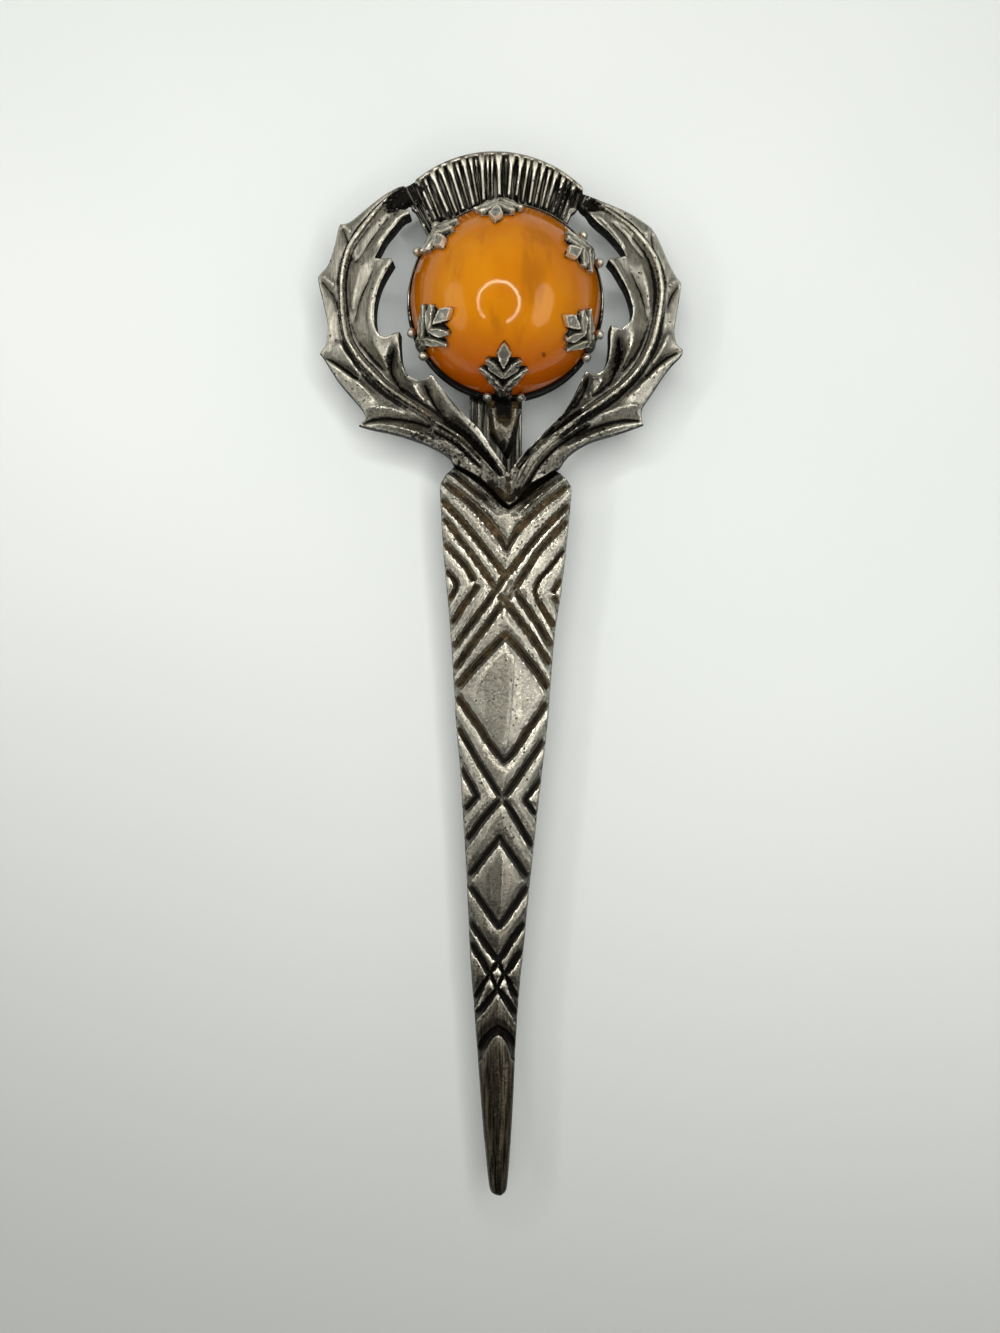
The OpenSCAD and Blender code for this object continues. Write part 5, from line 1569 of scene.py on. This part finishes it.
def antique_metal(name, body, dark, bright, brown, rough=0.36, pitted=0.9):
    """Cast pewter: dark in its hollows, worn bright where it stands proud, gritty, pitted and brushed, with
    painted shade and painted highlights from its layers.
    """
    n = Nodes(name)
    fine, broad, tarnish_and_shade = n.layer("fine"), n.layer("broad"), n.layer("tarnish_and_shade")
    x, y = n.axes()
    cloud = n.noise(2.6, 4)
    grain = n.noise(0.4, 4)
    grit = n.noise(0.26, 3, rough=0.7)
    coarse = n.noise(0.42, 4, rough=0.65)
    brushed = n.noise(0.16, 3, n.stretched((1.0, 0.1, 1.0), (0, 0, 20)))
    pits = n.ramp(n.cells(0.5), 0.27, 0.13)
    pits = n.times(pits, n.ramp(n.noise(1.6, 3), 0.48, 0.56))
    # The upper leaves are smooth and brushed, all below is gritty
    gritty = n.ramp(y, 37 * MM, 25 * MM, 0.12, 1.0)
    texture = n.scaled(gritty, n.math("SUBTRACT", grit, brushed), brushed)

    # Dark film: patina in the hollows, and the tarnish and painted shade of the layers, uneven at its edge
    ragged = n.scaled(grain, 0.12, -0.06)
    depth = n.plus(n.scaled(fine, 2.0, ragged), broad)
    depth = n.plus(depth, n.scaled(gritty, -0.09, 0.09))
    hollow = n.ramp(depth, -0.03, -0.26)
    blotch = n.plus(n.scaled(coarse, 2.6, -1.3), n.scaled(cloud, 0.8, -0.4))
    film = n.ramp(n.plus(tarnish_and_shade, blotch), 0.3, 0.7)
    film = n.times(film, n.ramp(tarnish_and_shade, 0.0, 0.25))
    stain = n.ramp(n.scaled(grain, 0.3, cloud), 0.68, 0.92, 0.0, 0.3)
    soot = n.math("MAXIMUM", stain, n.times(pits, pitted))
    soot = n.math("MAXIMUM", n.math("MAXIMUM", hollow, film), soot)
    # Metal worn bare where it stands proud, scaled by the painted light share, a painted highlight on faces
    # towards the light
    ragged = n.times(n.scaled(grit, 0.08, -0.04), gritty)
    worn = n.ramp(n.plus(fine, ragged), 0.005, 0.085)
    patchy_and_lit = n.times(n.layer("painted_light_share"), n.ramp(n.noise(1.8, 3), 0.36, 0.56, 0.4, 1.0))
    patchy_and_lit = n.plus(patchy_and_lit, n.scaled(gritty, -1.0, 1.0), clamp=True)
    worn = n.times(n.times(worn, patchy_and_lit), n.math("SUBTRACT", 1.0, soot))

    low = tuple(c * 0.6 for c in body[:3]) + (1.0,)
    high = tuple(c * 1.5 for c in body[:3]) + (1.0,)
    tone = n.mix(n.ramp(texture, 0.3, 0.7), low, high)
    tone = n.mix(n.ramp(n.noise(4.5, 3), 0.38, 0.62, 0.0, 0.55), tone, low)
    # Painted shade: the shade layer turns the metal dark and streaky and keeps worn highlights off it
    streaks = n.noise(0.2, 3, n.stretched((1.0, 0.05, 1.0)))
    streaky_shade = n.mix(n.ramp(streaks, 0.38, 0.62), colour(22, 18, 13), colour(74, 67, 54))
    shade = n.layer("shade")
    tone = n.mix(shade, tone, streaky_shade)
    tone = n.mix(n.times(worn, n.ramp(shade, 0.99, 0.85, 0.15, 1.0)), tone, bright)
    # Brown and golden dirt in the blade's upper cuts and round the thistle's foot
    golden = n.times(n.layer("golden"), n.ramp(coarse, 0.34, 0.62, 0.2, 1.0))
    golden = n.times(golden, n.ramp(depth, -0.62, -0.3, 0.25, 1.0))
    golden = n.times(golden, n.ramp(n.noise(2.2, 3), 0.4, 0.6, 0.25, 1.0))
    # The dark film is darker still under the painted shade
    dark = n.mix(golden, n.mix(shade, dark, colour(5, 4, 3)), brown)
    glints = n.times(golden, n.ramp(grit, 0.54, 0.72, 0.0, 0.5))
    # Faint lines that run along the plume's valleys
    ray = n.math("ARCTAN2", n.plus(x, -PLUME_FOCUS[0] * MM), n.plus(y, -PLUME_FOCUS[1] * MM))
    rays = n.add("ShaderNodeCombineXYZ")
    n.put(n.times(ray, 0.02), rays.inputs[0])
    n.put(n.times(y, 0.05), rays.inputs[1])
    lines = n.times(n.ramp(n.noise(0.16, 2, rays.outputs[0]), 0.5, 0.66), n.layer("plume"))
    soot = n.times(soot, n.scaled(lines, -0.45, 1.0), clamp=True)
    base = n.mix(soot, tone, dark)
    base = n.mix(glints, base, colour(196, 172, 122))
    n.shade("Base Color", base)
    bare = n.scaled(soot, -0.9, 0.97)
    n.shade("Metallic", n.math("MAXIMUM", bare, glints))
    rough = n.scaled(gritty, -0.17, n.scaled(grain, 0.2, rough))
    n.shade("Roughness", n.scaled(soot, 0.24, rough, clamp=True))
    n.shade("Specular IOR Level", n.scaled(soot, -0.42, 0.5))
    lumps = n.times(n.scaled(n.noise(0.8, 2), 0.6, grit), gritty)
    first = n.bump(lumps, 0.032)
    second = n.bump(brushed, 0.007, first)
    rough_cast = n.times(coarse, n.times(tarnish_and_shade, n.ramp(y, 34 * MM, 30 * MM)), clamp=True)
    third = n.bump(rough_cast, -0.2, second)
    dents = n.scaled(pits, -pitted, 1.0)
    n.shade("Normal", n.bump(dents, 0.05, third))
    return n.material


# Place of the stone's dark speck, as shares of its radius
SPECK = (0.39, -0.66)


def amber():
    """Clouded orange plastic, polished."""
    n = Nodes("clouded_orange")
    drift = n.noise(7.0, 3, n.stretched((1.0, 0.45, 1.0), (0, 0, 18)))
    streak = n.noise(2.6, 4, n.stretched((1.0, 0.22, 1.0), (0, 0, 24)))
    base = n.mix(n.ramp(drift, 0.35, 0.68), colour(183, 106, 4), colour(198, 124, 10))
    base = n.mix(n.ramp(streak, 0.52, 0.7, 0.0, 0.6), base, colour(150, 88, 14))
    x, y = n.axes()
    x = n.scaled(x, 1 / (STONE_R * MM), -STONE_X / STONE_R)
    y = n.scaled(y, 1 / (STONE_R * MM), -STONE_Y / STONE_R)
    out = n.math("SQRT", n.plus(n.times(x, x), n.times(y, y)))
    # Painted shade: deeper, darker orange towards the rim and towards the lower side
    base = n.mix(n.ramp(out, 0.45, 1.0, 0.0, 0.6), base, colour(160, 78, 2))
    base = n.mix(n.ramp(y, -0.25, -1.0, 0.0, 0.6), base, colour(160, 60, 2))
    # Dark speck below its middle
    from_speck = n.math("POWER", n.math("SUBTRACT", x, SPECK[0]), 2.0)
    from_speck = n.plus(from_speck, n.math("POWER", n.math("SUBTRACT", y, SPECK[1]), 2.0))
    base = n.mix(n.ramp(from_speck, 0.0009, 0.0001, 0.0, 0.75), base, colour(74, 30, 4))
    n.shade("Base Color", base)
    n.shade("Roughness", 0.09)
    n.shade("IOR", 1.54)
    n.shade("Specular IOR Level", 0.25)
    n.shade("Specular Tint", (1.0, 0.95, 0.76, 1.0))
    n.shade("Subsurface Weight", 0.15)
    n.shade("Subsurface Radius", (1.0, 0.35, 0.05))
    n.shade("Subsurface Scale", 0.0012)
    n.shade("Normal", n.bump(n.noise(3.0, 2), 0.012))
    return n.material


def steel():
    """Plain drawn steel, glossy and dark, with softly rounded edges."""
    n = Nodes("drawn_steel")
    drawn = n.noise(0.14, 3, n.stretched((1.0, 0.015, 1.0)))
    cloud = n.noise(3.0, 3)
    tone = n.mix(n.ramp(drawn, 0.46, 0.66), grey(22, WARM), grey(124, WARM))
    n.shade("Base Color", n.mix(n.ramp(cloud, 0.45, 0.75, 0.0, 0.6), tone, grey(24, WARM)))
    n.shade("Metallic", 1.0)
    n.shade("Roughness", n.scaled(cloud, 0.2, 0.1))
    edge = n.add("ShaderNodeBevel", samples=6)
    edge.inputs["Radius"].default_value = 0.35 * MM
    n.shade("Normal", n.bump(drawn, 0.004, edge.outputs[0]))
    return n.material


def paper():
    """Pale matt floor, with painted shade that darkens it towards the bottom and the lower left."""
    n = Nodes("pale_floor")
    tone = n.mix(n.ramp(n.noise(90.0, 2), 0.3, 0.7), colour(222, 226, 223), colour(228, 231, 228))
    # Painted shade: darker towards the bottom and the lower left
    x, y = n.axes()
    low = n.scaled(x, 0.25, y)
    tone = n.mix(n.ramp(low, 0.03, -0.085), tone, colour(176, 178, 175))
    n.shade("Base Color", tone)
    n.shade("Roughness", 0.75)
    n.shade("Specular IOR Level", 0.2)
    n.shade("Normal", n.bump(n.noise(0.6, 2), 0.01))
    return n.material


def dress(obj, material):
    obj.data.materials.clear()
    obj.data.materials.append(material)


# The object's pieces

casting = fused("pewter_casting", [leaves(), blade(), plume(), bridge(0), bridge(1), stem(), plate()])
setting = claw_setting()
dome = stone()

for obj in (casting, setting, dome):
    obj.data.shade_smooth()
    obj.data.set_sharp_from_angle(angle=math.radians(48))
wear_maps(casting, [("fine", 5), ("broad", 60)])
wear_maps(setting, [("fine", 6), ("broad", 70)])
tarnish_and_shade_map(casting)
setting_shade_map(setting)

dress(casting, antique_metal("antique_pewter", grey(154, WARM), colour(13, 11, 7), grey(234, WARM),
                             colour(84, 66, 40)))
dress(setting, antique_metal("antique_setting", grey(158, WARM), colour(9, 8, 6), grey(232, WARM),
                             colour(76, 64, 44), rough=0.31, pitted=0.0))
dress(dome, amber())
dress(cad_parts["pin_back"], steel())

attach(casting, "root")
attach(setting, "root")
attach(dome, "root")
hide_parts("casting")
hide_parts("claw_setting")
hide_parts("stone")


# Floor, light and camera

# Half side of the floor in metres
FLOOR_HALF = 0.9


def floor_plane():
    sheet = bmesh.new()
    bmesh.ops.create_grid(sheet, x_segments=24, y_segments=24, size=FLOOR_HALF)
    mesh = bpy.data.meshes.new("pale_floor")
    sheet.to_mesh(mesh)
    sheet.free()
    obj = new_object("pale_floor", mesh)
    dress(obj, paper())


def soft_light(name, place, size, radiance, tint=(1.0, 1.0, 1.0), aim=(0.0, 0.0, 0.0)):
    """Rectangular light of a size in mm that faces a point, with the brightness of its face."""
    lamp = bpy.data.lights.new(name, "AREA")
    lamp.shape = "RECTANGLE"
    lamp.size, lamp.size_y = (v * MM for v in size)
    lamp.energy = radiance * math.pi * lamp.size * lamp.size_y
    lamp.color = tint
    obj = new_object(name, lamp)
    obj.location = Vector(place) * MM
    obj.rotation_euler = (Vector(aim) - Vector(place)).to_track_quat("-Z", "Y").to_euler()
    return obj


# Ring of lights round the lens, open at its lower left and brightest at an angle
RING_LIGHTS = 36
RING_RADIUS = 76.0
RING_X = -28.0
RING_GAP_DEG = (225, 292)
RING_LAMP = (10, 8)
RING_RADIANCE = 27.0
RING_SWING = 0.3
RING_BRIGHTEST = 1.05
RING_TINT = (1.0, 0.985, 0.95)


def ring_of_lights():
    for k in range(RING_LIGHTS):
        turn = 360 * k / RING_LIGHTS
        if RING_GAP_DEG[0] < turn < RING_GAP_DEG[1]:
            continue
        angle = math.radians(turn)
        place = (RING_X + RING_RADIUS * math.cos(angle), CAMERA_Y + RING_RADIUS * math.sin(angle), CAMERA_Z)
        radiance = RING_RADIANCE * (1 + RING_SWING * math.cos(angle - RING_BRIGHTEST))
        soft_light(f"ring_light_{k}", place, RING_LAMP, radiance, RING_TINT)


# Brightness of the room along each axis, from -1 at 0 to +1 at 1, and in all
SKY_STOPS = {
    "Z": [(0.5, 0.3), (0.62, 0.42), (0.8, 0.24), (1.0, 0.14)],
    "Y": [(0.22, 0.8), (0.36, 0.3), (0.47, 0.6), (0.62, 1.0)],
}
SKY_STRENGTH = 1.2


def sky():
    """Pale room, dimmer overhead and dark behind whoever holds the camera, towards the blade's tip."""
    world = bpy.data.worlds.new("pale_room")
    world.use_nodes = True
    tree = world.node_tree
    place = tree.nodes.new("ShaderNodeTexCoord").outputs["Generated"]
    split = tree.nodes.new("ShaderNodeSeparateXYZ")
    tree.links.new(place, split.inputs[0])
    tones = []
    for axis, stops in SKY_STOPS.items():
        place_in_range = tree.nodes.new("ShaderNodeMath")
        place_in_range.operation = "MULTIPLY_ADD"
        place_in_range.inputs[1].default_value = place_in_range.inputs[2].default_value = 0.5
        tree.links.new(split.outputs[axis], place_in_range.inputs[0])
        ramp = tree.nodes.new("ShaderNodeValToRGB")
        ramp.color_ramp.interpolation = "EASE"
        elements = ramp.color_ramp.elements
        elements.remove(elements[1])
        elements[0].position = stops[0][0]
        for position, _ in stops[1:]:
            elements.new(position)
        for element, (_, level) in zip(elements, stops):
            element.color = (level, level * 1.005, level, 1)
        tree.links.new(place_in_range.outputs[0], ramp.inputs[0])
        tones.append(ramp.outputs[0])
    product = tree.nodes.new("ShaderNodeMix")
    product.data_type = "RGBA"
    product.blend_type = "MULTIPLY"
    product.inputs["Factor"].default_value = 1.0
    tree.links.new(tones[0], product.inputs[6])
    tree.links.new(tones[1], product.inputs[7])
    tree.links.new(product.outputs[2], tree.nodes["Background"].inputs["Color"])
    tree.nodes["Background"].inputs["Strength"].default_value = SKY_STRENGTH
    bpy.context.scene.world = world


def camera():
    lens = bpy.data.cameras.new("camera")
    lens.sensor_fit = "VERTICAL"
    lens.sensor_height = 36
    lens.lens = lens.sensor_height / (PHOTO_H / PIXELS_PER_MM) * CAMERA_RISE
    lens.clip_start = 0.01
    obj = new_object("camera", lens)
    obj.location = (0, CAMERA_Y * MM, CAMERA_Z * MM)
    bpy.context.scene.camera = obj


# Windows that only reflect, each of three panes in one place so that its edges are soft: sizes and radiance
WINDOWS = {
    "window_right": ((170, -12, 175), ((210, 40), (180, 70), (140, 100)), 3.0),
    "window_left": ((-320, -20, 175), ((330, 70), (280, 120), (220, 170)), 1.5),
}


floor_plane()
ring_of_lights()
for name, (place, sizes, radiance) in WINDOWS.items():
    for size in sizes:
        soft_light(name, place, size, radiance).visible_diffuse = False
soft_light("ceiling_bounce", (0, 20, 420), (230, 230), 4.9).visible_glossy = False
sky()
camera()
bpy.context.scene.view_settings.view_transform = "Standard"
